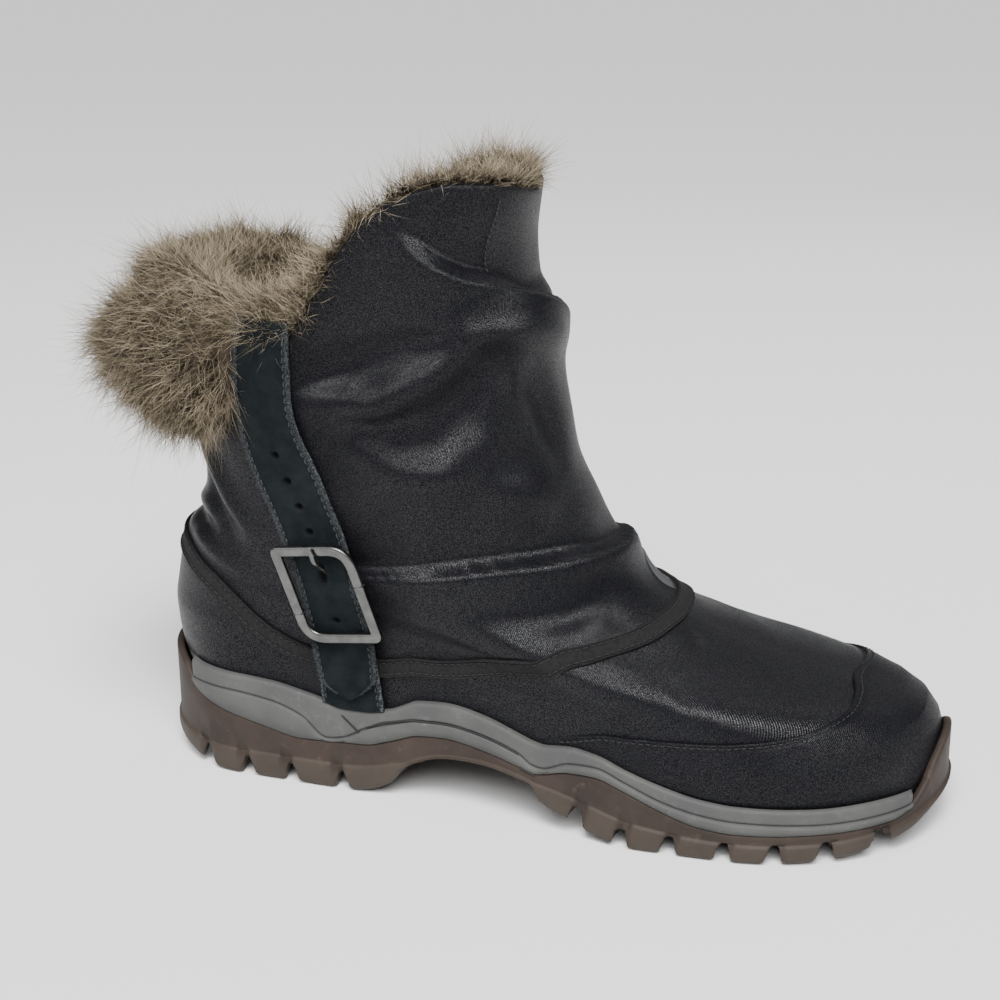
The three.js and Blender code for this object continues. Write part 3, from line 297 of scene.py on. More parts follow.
def grid_piece(name, points, uv=None, wrap=False, flip=False, colour=None, period=(0.0, 0.0)):
    """Quads over a grid of points, turned to face the other side when flip is true. uv and colour
    are arrays over the same grid; colour is one number for each point, and period is what uv
    gains in one turn, so that the map runs on over the join."""
    rows, cols = points.shape[:2]
    faces = quads_over(rows, cols, wrap)
    if uv is not None:
        uv = np.broadcast_to(uv, (rows, cols, 2))
        if wrap:
            uv = np.concatenate([uv, uv[:, :1] + np.array(period)], 1)
        uv = np.stack([uv[:-1, :-1], uv[1:, :-1], uv[1:, 1:], uv[:-1, 1:]], 2).reshape(-1, 4, 2)
    if flip:
        faces = faces[:, ::-1]
        uv = None if uv is None else uv[:, ::-1]
    return mesh_piece(name, points.reshape(-1, 3), faces, uv, colour)


def mesh_piece(name, points, faces, uv=None, colour=None, merge=True):
    """An object from points in millimetres and rows of corner numbers, smooth and riding on the
    boot. uv is a pair for each corner of each face and colour one number for each point. Where
    merge is true, points that lie together at a seam or a pole become one."""
    mesh = bpy.data.meshes.new(name)
    mesh.from_pydata((points / 1000).tolist(), [], faces.tolist())
    if uv is not None:
        layer = mesh.uv_layers.new(name="UVMap")
        layer.data.foreach_set("uv", uv.astype(np.float32).ravel())
    if colour is not None:
        layer = mesh.attributes.new("shade", "FLOAT", "POINT")
        layer.data.foreach_set("value", colour.astype(np.float32).ravel())
    if merge:
        form = bmesh.new()
        form.from_mesh(mesh)
        bmesh.ops.remove_doubles(form, verts=form.verts, dist=1e-6)
        form.to_mesh(mesh)
        form.free()
    mesh.shade_smooth()
    piece = bpy.data.objects.new(name, mesh)
    bpy.context.scene.collection.objects.link(piece)
    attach(piece, "root")
    return piece


around, rise, rise_inside = 380, 172, 48
turn, share = np.meshgrid(np.arange(around) * 360 / around, np.linspace(0, 1, rise))
outside = cloth(turn, collar_top(turn) * share)
rim = []
for lift, drop in ((-0.5, -0.0025), (-1.4, -0.004), (-wall, 0.0)):
    rim.append(cloth(turn[0], collar_top(turn[0]) - drop, lift))
inner_share = np.linspace(0.985, 0, rise_inside)[:, None]
inside = cloth(turn[:rise_inside], collar_top(turn[:rise_inside]) * inner_share, -wall)
outside_and_in = np.concatenate([outside, np.stack(rim), inside, outside[:1]])
uv = np.stack(
    np.broadcast_arrays(
        np.concatenate([turn, turn[:3], turn[:rise_inside], turn[:1]]) / 360 * map_round,
        np.cumsum(
            np.r_[0, np.linalg.norm(np.diff(outside_and_in[:, 90], axis=0), axis=1)]
        )[:, None] / 1000,
    ),
    -1,
)
upper = grid_piece("satin_upper", outside_and_in, uv, wrap=True, period=(map_round, 0))
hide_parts("upper")


def new_material(name, colour, roughness, metallic=0.0):
    """A material and its two makers: node adds a node with its inputs, and feed sets an input of
    the shader. An input is given by its name or number, as a value or as another node's socket."""
    material = bpy.data.materials.new(name)
    material.use_nodes = True
    tree = material.node_tree
    shader = tree.nodes["Principled BSDF"]

    def give(owner, socket, source):
        if isinstance(source, bpy.types.NodeSocket):
            tree.links.new(source, owner.inputs[socket])
        else:
            owner.inputs[socket].default_value = source

    def node(kind, inputs=(), **settings):
        made = tree.nodes.new(kind)
        for key, value in settings.items():
            setattr(made, key, value)
        for socket, source in inputs:
            give(made, socket, source)
        return made

    def feed(socket, source):
        give(shader, socket, source)

    feed("Base Color", (*colour, 1))
    feed("Roughness", roughness)
    feed("Metallic", metallic)
    return material, node, feed


def noise(node, place, scale, detail=2.0, roughness=0.5):
    """Cloudy noise at a place, from 0 to 1."""
    return node("ShaderNodeTexNoise", [
        ("Vector", place), ("Scale", scale), ("Detail", detail), ("Roughness", roughness),
    ]).outputs["Fac"]


def ramp(node, source, stops):
    """A colour ramp fed by a number; stops are places and colours."""
    made = node("ShaderNodeValToRGB", [("Fac", source)])
    band = made.color_ramp.elements
    while len(band) < len(stops):
        band.new(0.5)
    for element, (place, colour) in zip(band, stops):
        element.position = place
        element.color = (*colour, 1)
    return made.outputs["Color"]


def ranged(node, value, low, high, new_low, new_high):
    """A number carried from one range over to another."""
    return node("ShaderNodeMapRange", [
        ("Value", value), ("From Min", low), ("From Max", high), ("To Min", new_low), ("To Max", new_high),
    ]).outputs["Result"]


def combined(node, how, first, second):
    """Two numbers added or multiplied."""
    return node("ShaderNodeMath", [(0, first), (1, second)], operation=how).outputs[0]


def mixed(node, factor, first, second, how="MIX"):
    """Two colours mixed by a number; each is a colour or another node's socket."""
    first, second = ((*c, 1) if isinstance(c, tuple) else c for c in (first, second))
    inputs = [("Factor", factor), (6, first), (7, second)]
    return node("ShaderNodeMix", inputs, data_type="RGBA", blend_type=how).outputs[2]


def relief(node, height, strength, distance):
    """The shading of a fine relief, from its height and its depth in metres."""
    inputs = [("Height", height), ("Strength", strength), ("Distance", distance)]
    return node("ShaderNodeBump", inputs).outputs["Normal"]


def cloth_map(node):
    """The piece's own map, in millimetres."""
    place = node("ShaderNodeTexCoord")
    scaled = node("ShaderNodeMapping", [("Vector", place.outputs["UV"]), ("Scale", (1000, 1000, 1000))])
    return scaled.outputs["Vector"]


def satin(name, dark, light, roughness, weave, sparkle):
    """Woven satin: a twill of two crossed waves on the cloth's own map, broken by fine noise. The
    single threads differ in how much they mirror, so it sparkles only where light catches it."""
    material, node, feed = new_material(name, dark, roughness)
    body = node("ShaderNodeTexCoord").outputs["Object"]
    broad = noise(node, body, 28, 3.0, 0.55)
    fine = noise(node, body, 2600, 2.0, 0.7)
    twill = node(
        "ShaderNodeTexWave",
        [("Vector", cloth_map(node)), ("Scale", weave), ("Distortion", 0.6), ("Detail", 1.0)],
        wave_type="BANDS", bands_direction="DIAGONAL",
    ).outputs["Fac"]
    feed("Base Color", mixed(node, broad, dark, light))
    feed("Specular IOR Level", ranged(node, fine, 0.42, 0.62, 0.1 * sparkle, sparkle))
    feed("Roughness", ranged(node, broad, 0.3, 0.7, roughness - 0.04, roughness + 0.06))
    feed("Normal", relief(node, combined(node, "ADD", twill, fine), 0.8, 0.00008))
    feed("IOR", 1.3)
    return material


upper.data.materials.append(
    satin("black_satin", (0.0030, 0.0030, 0.0042), (0.0065, 0.0065, 0.0085), 0.34, 0.75, 0.8)
)


# Seams and stitches
# Polyester thread of about half a millimetre, lockstitched through the cloth: each stitch is a
# short bar that dips into the cloth at both ends. Two rows of them run down the front panel.
def stitch_bars(name, path, normals, pitch, bar, thick, proud=0.15):
    """Short six-sided bars along a path: the path is walked at an even pitch, and each bar is a
    tube whose height over the cloth is a half sine and whose ends are closed by their own tips."""
    step = np.r_[0, np.cumsum(np.linalg.norm(np.diff(path, axis=0), axis=1))]
    start = np.arange(pitch / 2, step[-1] - bar, pitch)
    s = np.array([0, 0.1, 0.5, 0.9, 1.0])
    girth = np.array([0, 0.85, 1, 0.85, 0])
    rise_up = np.sin(np.pi * s) * (thick * 0.5 + proud) - 0.1
    where = start[:, None] + s * bar
    centre = np.stack([np.interp(where, step, path[:, k]) for k in range(3)], -1)
    out = unit(np.stack([np.interp(where, step, normals[:, k]) for k in range(3)], -1))
    run = unit(np.gradient(centre, axis=1))
    across = unit(np.cross(run, out))
    angle = np.arange(6) * np.pi / 3
    ring = np.cos(angle)[:, None] * across[:, :, None] + np.sin(angle)[:, None] * out[:, :, None]
    points = (centre + out * rise_up[:, None])[:, :, None] + ring * (girth * thick / 2)[:, None, None]
    count, rows, cols = points.shape[:3]
    quads = quads_over(rows, cols, True)
    faces = (quads[None] + np.arange(count)[:, None, None] * rows * cols).reshape(-1, 4)
    return mesh_piece(name, points.reshape(-1, 3), faces)


def thread_material(name, colour):
    """Twisted thread: one colour, with the fine relief of its ply."""
    material, node, feed = new_material(name, colour, 0.7)
    ply = noise(node, node("ShaderNodeTexCoord").outputs["Object"], 2600)
    feed("Normal", relief(node, ply, 0.4, 0.0001))
    return material


black_thread = thread_material("black_thread", (0.008, 0.008, 0.009))


def surface_line(turns, ups, lift):
    """Points and normals along a line on the cloth."""
    return cloth(turns, ups, lift), last_normal(turns, ups)


# Front panel's two side seams, from the collar down to the first fold.
for name, seam_turn in (("front_seam_outer", 25.0), ("front_seam_inner", -25.0)):
    ups = np.linspace(0.9, 0.81, 60)
    turns = seam_turn + 2.5 * np.sin(np.linspace(0, 2.4, 60))
    path, normals = surface_line(turns, ups, 0.1)
    seam = stitch_bars(name, path, normals, 1.9, 1.7, 0.55, 0.25)
    seam.data.materials.append(black_thread)


# Under the front of the ankle's fold a leaf of light grey knit shows, set in over the instep.
leaf_share, leaf_across = np.meshgrid(np.linspace(0, 1, 25), np.linspace(-1, 1, 9), indexing="ij")
leaf_turn = -16 + 5 * leaf_share + 6.0 * leaf_across * np.sin(np.pi * leaf_share) ** 0.8
leaf_up = 0.458 - 0.05 * leaf_share
leaf_lift = 0.75 - 0.9 * np.abs(leaf_across) ** 6 - 0.6 * (1 - np.sin(np.pi * leaf_share)) ** 4
leaf = grid_piece("instep_leaf", cloth(leaf_turn, leaf_up, leaf_lift),
                  np.stack([leaf_across, leaf_share], -1) / 80, flip=True)
leaf.data.materials.append(satin("grey_knit", (0.05, 0.052, 0.055), (0.08, 0.083, 0.088), 0.6, 0.5, 0.2))


# Sewn band
# Matte woven ribbon, one closed ring over the seam between vamp and shaft, with a corded edge on
# both sides and a row of stitches beside each.
band_width = 6.6
band_line = np.array([
    (0, 0.4), (11, 0.398), (36, 0.376), (61, 0.328), (88, 0.186), (102, 0.09), (117, 0.086),
    (124, 0.09), (129, 0.108), (138, 0.195), (144, 0.242), (159, 0.3), (180, 0.32),
])


def band_place(turn, share):
    """Turn and up at a share across the band, from -1 at its lower edge to 1: its half width,
    widened where it slants, is divided by the height that one unit of up has there."""
    centre = column(band_line, 1, fold_turn(turn))
    climb = (last(turn, centre + 0.01) - last(turn, centre - 0.01)) / 0.02
    ahead = last(turn + 1, column(band_line, 1, fold_turn(turn + 1)))
    behind = last(turn - 1, column(band_line, 1, fold_turn(turn - 1)))
    lean = (unit(climb) * unit(ahead - behind)).sum(-1)
    tall = np.linalg.norm(climb, axis=-1)
    return centre + share * band_width / 2 / np.sqrt(1 - lean**2) / tall


turn, share = np.meshgrid(np.arange(360) * 1.0, np.array([
    -1.0, -1.0, -0.99, -0.93, -0.84, -0.78, -0.6, -0.2, 0.2, 0.6, 0.78, 0.84, 0.93, 0.99, 1.0, 1.0,
]))
half_lift = [-0.6, 0.4, 1.1, 1.35, 1.1, 0.72, 0.8, 0.85]  # from an edge to the middle
lift = np.array(half_lift + half_lift[::-1])
ribbon = cloth(turn, band_place(turn, share), np.broadcast_to(lift[:, None], turn.shape))
ribbon = np.concatenate([ribbon, ribbon[:1]])
uv = np.stack([turn / 360 * map_round, share * band_width / 2000], -1)
uv = np.concatenate([uv, uv[:1]])
band = grid_piece("sewn_band", ribbon, uv, wrap=True, period=(map_round, 0))
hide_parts("ankle_band")


def ribbon_material(name, colour):
    """Grosgrain: fine ribs across the ribbon with a dusty matte face."""
    material, node, feed = new_material(name, colour, 0.85)
    ribs = node(
        "ShaderNodeTexWave", [("Vector", cloth_map(node)), ("Scale", 0.45)], bands_direction="X"
    ).outputs["Fac"]
    dust = noise(node, node("ShaderNodeTexCoord").outputs["Object"], 900, 4.0)
    feed("Base Color", ramp(node, dust, [(0.35, colour), (0.75, tuple(c * 2.2 for c in colour))]))
    feed("Normal", relief(node, combined(node, "ADD", ribs, dust), 0.6, 0.00015))
    feed("Specular IOR Level", 0.2)
    return material


band.data.materials.append(ribbon_material("matte_ribbon", (0.0075, 0.0072, 0.0072)))
for name, where in (("band_stitches_low", -0.66), ("band_stitches_high", 0.66)):
    turns = np.linspace(0, 360, 721)
    path, normals = surface_line(turns, band_place(turns, where), 0.85)
    row = stitch_bars(name, path, normals, 2.6, 2.0, 0.45)
    row.data.materials.append(black_thread)


# Toe rand
# Coated cloth that closes the toe up to a U-shaped seam. Its edge is turned under and stitched
# down, so it stands as a soft lip over the vamp.
rand_line = np.array([
    (0, 0.246), (15, 0.226), (30, 0.184), (46, 0.134), (63, 0.101), (73, 0.067), (83, 0.026),
])
rand_end = rand_line[-1, 0]
turns = np.linspace(-rand_end, rand_end, 300)
share = np.array([0, 0.1, 0.2, 0.35, 0.5, 0.65, 0.8, 0.88, 0.94, 0.97, 0.985, 0.995, 1.0, 1.0])
lift = np.array([0.7, 0.75, 0.8, 0.8, 0.8, 0.8, 0.8, 0.85, 1.0, 1.15, 1.1, 0.85, 0.3, -0.8])
edge = column(rand_line, 1, np.abs(turns))
turn, share_grid = np.meshgrid(turns, share)
taper = np.clip((rand_end - np.abs(turns)) / 10, 0.05, 1)
rand_up = np.where(share_grid > 0.8, edge - (1 - share_grid) * 0.09, share_grid / 0.8 * (edge - 0.018))
rand_up = np.maximum(rand_up, 0)
rand_points = cloth(turn, rand_up, lift[:, None] * np.where(lift[:, None] > 0, taper, 1))
under = cloth(turn[:1], 0 * turn[:1], -0.8)
rand_points = np.concatenate([under, rand_points])
uv = np.stack([
    np.broadcast_to(turns / 360 * map_round, rand_points.shape[:2]),
    np.concatenate([[0 * turns], share_grid * edge * 0.2]),
], -1)
rand = grid_piece("toe_rand_cloth", rand_points, uv)
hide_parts("toe_rand")
rand.data.materials.append(
    satin("coated_cloth", (0.0032, 0.0032, 0.0044), (0.0065, 0.0065, 0.0085), 0.38, 0.8, 0.7)
)
path, normals = surface_line(turns, np.maximum(edge - 0.0085, 0.003), 0.95)
row = stitch_bars("rand_stitches", path, normals, 2.4, 1.8, 0.45)
row.data.materials.append(black_thread)


# Midsole
# Injection moulded foam, mid grey, cemented under the upper. A waved groove runs round its side,
# over a lower panel that stands a little proud, and slanted marks divide it at the shank.
def sole_z(name, along):
    return heel_rise * column(side, name, along)


sole_middle = np.array([foot_length / 2 - heel_setback, 2.0])


def outline(turn, margin):
    """The feather line in plan, moved outwards by a margin along its own normal."""
    here = last(turn, 0.0)[..., :2]
    run = unit(last(np.asarray(turn) + 0.4, 0.0)[..., :2] - last(np.asarray(turn) - 0.4, 0.0)[..., :2])
    out = np.stack([-run[..., 1], run[..., 0]], -1)
    out = out * np.sign((out * (here - sole_middle)).sum(-1, keepdims=True))
    return here + out * np.asarray(margin)[..., None]


def along_of(xy):
    return (xy[..., 0] + heel_setback) / foot_length


turns = np.arange(720) * 0.5
foot_at = along_of(outline(turns, 2.4))
top = sole_z(FEATHER, foot_at) - 0.1
groove = np.minimum(sole_z(GROOVE, foot_at), top - 2.2)
low = np.maximum(sole_z(RIM, foot_at), sole_z(SEAT, foot_at)) + 0.1
cupped = np.clip((low - groove + 0.4) / 1.5, 0, 1)  # where the rubber rises over the foam
low = np.minimum(low, top - 1.4)
groove = np.clip(groove, low + 0.8, top - 0.5)
# margin, then height as a share from groove to top (over 0) or from groove to low (under 0)
section = [
    (-3.0, 1.0, 0), (1.2, 1.0, 0.1), (2.0, 1.0, -0.1), (2.5, 1.0, -0.7), (2.6, 0.75, 0), (2.6, 0.5, 0),
    (2.6, 0.0, 1.3), (2.6, 0.0, 0.75), (2.3, 0.0, 0.45), (1.7, 0.0, 0.1), (2.3, 0.0, -0.25),
    (3.0, 0.0, -0.45), (3.25, 0.0, -0.9), (3.25, -0.5, 0), (3.2, -1.0, 0.1), (2.9, -1.0, 0),
    (-3.0, -1.0, 0),
]
rows = []
for margin, share, extra in section:
    z = groove + (share * (top - groove) if share > 0 else -share * (low - groove)) + extra
    z = np.minimum(z, top + 0.1) if share >= 0 else z
    margins = margin - cupped * max(0, margin + 0.6)
    rows.append(np.concatenate([outline(turns, margins), z[:, None]], 1))
rows.append(rows[0])
midsole_points = np.stack(rows)
midsole = grid_piece("foam_midsole", midsole_points, wrap=True, flip=True)
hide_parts("midsole")


def moulded(name, colour, worn, roughness, grain, depth, dirt, trodden=None):
    """Moulded rubber or foam: a fine pebbled skin, cloudy colour, and dust in patches. Where the
    shade attribute says that it treads the ground, it may have a colour of its own."""
    material, node, feed = new_material(name, colour, roughness)
    body = node("ShaderNodeTexCoord").outputs["Object"]
    pebble = noise(node, body, grain, 3.0, 0.6)
    cloud = noise(node, body, 42, 5.0, 0.62)
    scuff = noise(node, body, 230, 4.0, 0.7)
    patches = ramp(node, cloud, [(0.42, (0, 0, 0)), (0.68, (1, 1, 1))])
    marks = ramp(node, scuff, [(0.58, (0, 0, 0)), (0.72, (dirt, dirt, dirt))])
    dust = tuple(min(1, c * 1.9) for c in worn)
    skin = mixed(node, marks, mixed(node, patches, colour, worn), dust)
    if trodden:
        treads = node("ShaderNodeAttribute", attribute_name="shade").outputs["Fac"]
        skin = mixed(node, combined(node, "MULTIPLY", treads, cloud), skin, trodden)
    feed("Base Color", skin)
    feed("Normal", relief(node, combined(node, "ADD", pebble, scuff), 0.5, depth))
    feed("Specular IOR Level", 0.25)
    return material


midsole.data.materials.append(
    moulded("grey_foam", (0.060, 0.061, 0.060), (0.078, 0.078, 0.074), 0.62, 1300, 0.0001, 0.3)
)


# The groove's dark bottom, and the slanted scribed marks of the shank, as thin inlaid lines of painted
# shade.
def scribed(name, path, width):
    """A thin dark strip laid along a path: it reaches half its width up and down from the path,
    and is narrower towards both ends by the square root of the way to them."""
    run = unit(np.gradient(path, axis=0))
    out = unit(np.stack([path[:, 0] * 0, np.sign(path[:, 1]), path[:, 0] * 0], -1))
    side_way = unit(np.cross(run, out))
    done = np.linspace(0, 1, len(path))[:, None]
    half = width / 2 * np.sqrt(np.clip(np.minimum(done, 1 - done) * 12, 0.02, 1))
    low, high = path - side_way * half, path + side_way * half
    return grid_piece(name, np.stack([low - out * 0.3, low, path + out * 0.12, high, high - out * 0.3]))


# painted shade: one near-black material for the groove's bottom, the scribed marks and the buckle's splits
dark_line = new_material("groove_shadow", (0.012, 0.012, 0.012), 0.9)[0]


def on_midsole(x, z, margin, lateral=True):
    """Points of the sole's side wall at an x and z, found by reading its outline at that x."""
    turns = np.linspace(2, 178, 700) * (1 if lateral else -1)
    line = outline(turns, np.full(700, margin))
    order = np.argsort(line[:, 0])
    return np.stack([x, np.interp(x, line[order, 0], line[order, 1]), z], -1)


for lateral in (True, False):
    tag = "outer" if lateral else "inner"
    for k, (points, margin) in enumerate((
        ([(45, 28.5), (50, 24), (55.5, 18.5)], 2.75), ([(112, 21), (118, 19.2)], 3.3),
        ([(54, 24.6), (60, 27.5), (70.6, 30), (83.7, 30.2), (97.9, 28.8), (111.8, 25.2)], 2.75),
    )):
        points = np.array(points, float)
        x = np.linspace(points[0, 0], points[-1, 0], 60)
        z = np.interp(x, points[:, 0], points[:, 1])
        line = scribed(f"scribed_{tag}_{k}", on_midsole(x, z, margin, lateral), 0.8)
        line.data.materials.append(dark_line)


# Outsole
# Grey-brown rubber, compression moulded in one piece: a cup up the back of the heel, a bumper at
# the toe, and side lugs with gaps between them, flat on the floor at the heel and the forefoot.
side_gaps = np.array([  # along, slant in plan in degrees
    (0.077, 24), (0.138, 18), (0.2, 14), (0.271, 12), (0.588, -6), (0.645, -4), (0.704, 0),
    (0.769, 4), (0.828, 10), (0.886, 18), (0.946, 30),
])
gap_width, gap_depth = 4.4, 6.6
channel_out, channel_half, channel_depth = 14.0, 2.2, 4.5  # the two long channels of the tread
middle_y = 1.2
columns = 1200
turns = np.arange(columns) * 360 / columns
foot_at = along_of(outline(turns, 3.0))
rim_top = np.maximum(sole_z(RIM, foot_at), sole_z(SEAT, foot_at))
tread = np.maximum(0, sole_z(TREAD, foot_at))
ledge = np.maximum(sole_z(LEDGE, foot_at), tread + 0.8)
rows = []
for margin, z in (
    (0.0, rim_top - 3), (0.3, rim_top - 0.6), (0.9, rim_top), (2.2, rim_top), (2.8, rim_top - 0.3),
    (3.05, rim_top - 1.0), (3.05, 0.6 * rim_top + 0.4 * ledge), (3.05, ledge + 0.9),
    (3.3, ledge + 0.35), (3.8, ledge - 0.05), (4.0, ledge - 0.6), (4.05, 0.65 * ledge + 0.35 * tread),
    (4.05, 0.3 * ledge + 0.7 * tread), (3.9, tread + 1.1), (3.3, tread + 0.35), (2.3, tread),
):
    rows.append(np.column_stack([outline(turns, np.full(columns, margin)), np.maximum(z, tread)]))
# of the rows: the wall under the ledge, the lugs, the underside, and what dust sits on
wall_rows, lug_rows, tread_rows, dusty_rows = slice(8, 15), slice(12, 18), slice(15, None), slice(8, 18)
edge_row = rows[-1]
edge_out = edge_row[:, 1] - middle_y
for reach in (0.82, 0.62, 0.5):
    rows.append(np.column_stack([edge_row[:, 0], middle_y + edge_out * reach, edge_row[:, 2]]))
for reach in (16.4, 15.9, 12.1, 11.6, 6.0, 0.0):
    out_by = np.sign(edge_out) * np.minimum(np.abs(edge_out) * 0.42, reach)
    rows.append(np.column_stack([edge_row[:, 0], middle_y + out_by, edge_row[:, 2]]))
outsole_points = np.stack(rows)
x, y, z = np.moveaxis(outsole_points, -1, 0)
half_breadth = np.abs(edge_out)[None]
sideways = np.abs(y - middle_y)
inward = np.clip(half_breadth - sideways, 0, None)
cut, gap_shoulder = np.zeros_like(x), np.zeros_like(x)
for gap_along, slant in side_gaps:
    centre_x = gap_along * foot_length - heel_setback - np.tan(np.radians(slant)) * inward
    centre_x = centre_x + (-0.3 if gap_along < 0.3 else 0.25) * np.clip(z - tread, 0, 8)
    away = np.abs(x - centre_x) * np.cos(np.radians(slant))
    side_cut = inward < 0.6 * half_breadth + 2
    cut = np.maximum(cut, np.clip((gap_width / 2 + 0.45 - away) / 0.9, 0, 1) * side_cut)
    near_gap = np.clip(1 - (away - gap_width / 2) / 2.4, 0, 1) ** 2
    gap_shoulder = np.maximum(gap_shoulder, near_gap * side_cut)
channel = np.clip((channel_half - np.abs(sideways - channel_out)) / 0.4, 0, 1)
channel = channel * (sideways < half_breadth * 0.6) * (x > -16) * (x < 226) * ((x < 58) | (x > 124))
raise_to = np.broadcast_to(tread, x.shape) + gap_depth
outsole_points[..., 2] = np.where(z < raise_to, z + (raise_to - z) * cut, z)
outsole_points[lug_rows, :, 2] += (1.3 * gap_shoulder * (1 - cut))[lug_rows]
outsole_points[tread_rows, :, 2] += (channel * channel_depth * (1 - cut))[tread_rows]
# where a gap opens in the side wall, the wall under the ledge draws in
pull = (cut * (outsole_points[..., 2] < ledge + 1.5))[wall_rows, :, None] * 0.75
drawn_in = outline(turns, np.full(columns, 2.2))
outsole_points[wall_rows, :, :2] += (drawn_in - outsole_points[wall_rows, :, :2]) * pull
# both halves of the underside meet in one line of points
partner = -np.arange(columns) % columns
outsole_points[-1] = (outsole_points[-1] + outsole_points[-1, partner]) / 2
lug_face = np.zeros(x.shape)
lug_face[dusty_rows] = (1 - cut)[dusty_rows]
# the seat for the midsole closes the rubber on top
seat_z = np.minimum(rim_top - 3.2, sole_z(SEAT, foot_at) - 1)
seat_edge = np.column_stack([outsole_points[0, :, :2], seat_z])
seat_middle = np.column_stack([seat_edge[:, 0], np.full(columns, middle_y), seat_z])
seat_middle = (seat_middle + seat_middle[partner]) / 2
outsole_points = np.concatenate([[seat_middle, seat_edge], outsole_points])
lug_face = np.concatenate([np.zeros((2, columns)), lug_face])
outsole = grid_piece("rubber_outsole", outsole_points, wrap=True, flip=True, colour=lug_face)
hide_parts("outsole")
outsole.data.materials.append(
    moulded("brown_rubber", (0.023, 0.0155, 0.012), (0.038, 0.0265, 0.0205), 0.6, 800, 0.00018, 0.5,
            (0.050, 0.040, 0.031))
)


# Insole
# Felted footbed, die cut and laid in loose. The model's own solid is kept.
felt = moulded("insole_felt", (0.09, 0.08, 0.07), (0.12, 0.105, 0.09), 0.95, 900, 0.0003, 0.1)
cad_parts["insole"].data.materials.clear()
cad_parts["insole"].data.materials.append(felt)


# Strap
# Blue-black suede, a single pointed strap, 23 mm wide, sewn in at the collar, with its raw edges
# brushed up pale and a row of stitches along each. It has five punched holes and one for the prong.
strap_width, strap_thick, strap_length = 23.0, 1.7, 139.0
anchor_thick, anchor_length = 1.3, 33.0
strap_lift = 1.6
stitch_line = 0.84  # how far out a row of stitches runs, as a share of the half width
strap_line = np.array([  # run, x and z shares, width, climb onto the anchor strap
    (0, 0.204, 0.764, 0.84, 0), (0.08, 0.200, 0.70, 0.9, 0), (0.15, 0.199, 0.655, 0.93, 0),
    (0.22, 0.2025, 0.612, 0.96, 0), (0.30, 0.2125, 0.566, 0.98, 0), (0.37, 0.226, 0.527, 1, 0),
    (0.54, 0.256, 0.433, 0.98, 0.4), (0.68, 0.273, 0.347, 0.96, 1), (0.84, 0.282, 0.248, 0.98, 1),
    (0.93, 0.285, 0.196, 0.9, 1), (1, 0.288, 0.162, 0.08, 1),
])
anchor_line = np.array([
    (0, 0.278, 0.285, 0.9, 0), (0.5, 0.282, 0.215, 0.96, 0), (1, 0.288, 0.138, 1, 0),
])


def on_side(x, z):
    """Turn and up of the points of the last's outer side that have this x and z, by Newton's
    method on the two unknowns at once, with short steps."""
    turn, up = np.full(x.shape, 100.0), np.full(x.shape, 0.5)
    for _ in range(16):
        p = last(turn, up)
        t = (last(turn + 0.5, up) - p) * 2
        u = (last(turn, up + 0.005) - p) * 200
        dx, dz = x - p[..., 0], z - p[..., 2]
        det = t[..., 0] * u[..., 2] - t[..., 2] * u[..., 0]
        turn = np.clip(turn + np.clip((dx * u[..., 2] - dz * u[..., 0]) / det, -25, 25), 8, 172)
        up = np.clip(up + np.clip((dz * t[..., 0] - dx * t[..., 2]) / det, -0.2, 0.2), 0, 0.99)
    return turn, up


def strap_place(line, run, across):
    """Turn and up at a run down a strap and a share across it: from the strap's middle, half its
    width is stepped off at right angles to the line between two middles close by."""

    def middle(r):
        r = np.clip(r, 0, 1)
        return (column(line, 1, r) * foot_length - heel_setback, column(line, 2, r) * shaft_height)

    x, z = middle(run)
    xa, za = middle(run - 0.02)
    xb, zb = middle(run + 0.02)
    length = np.hypot(xb - xa, zb - za)
    half = column(line, 3, run) * strap_width / 2
    return on_side(x - (zb - za) / length * across * half, z + (xb - xa) / length * across * half)


def strap_surface(line, run, across, lift):
    """The strap over the cloth: it follows the folds only by a third, since suede is stiff."""
    turn, up = strap_place(line, run, across)
    points, normals = last(turn, up), last_normal(turn, up)
    flat = slack(points.reshape(-1, 3), normals.reshape(-1, 3)).reshape(turn.shape)
    climb = column(line, 4, run) * strap_thick
    return points + normals * (np.maximum(flat * 0.5, flat * 0.2) + climb + lift)[..., None], normals


prong_hole = 0.635
holes = np.array([(0.31, 0), (0.38, 0), (0.45, 0), (0.52, 0), (0.75, 0), (prong_hole, -0.06)])


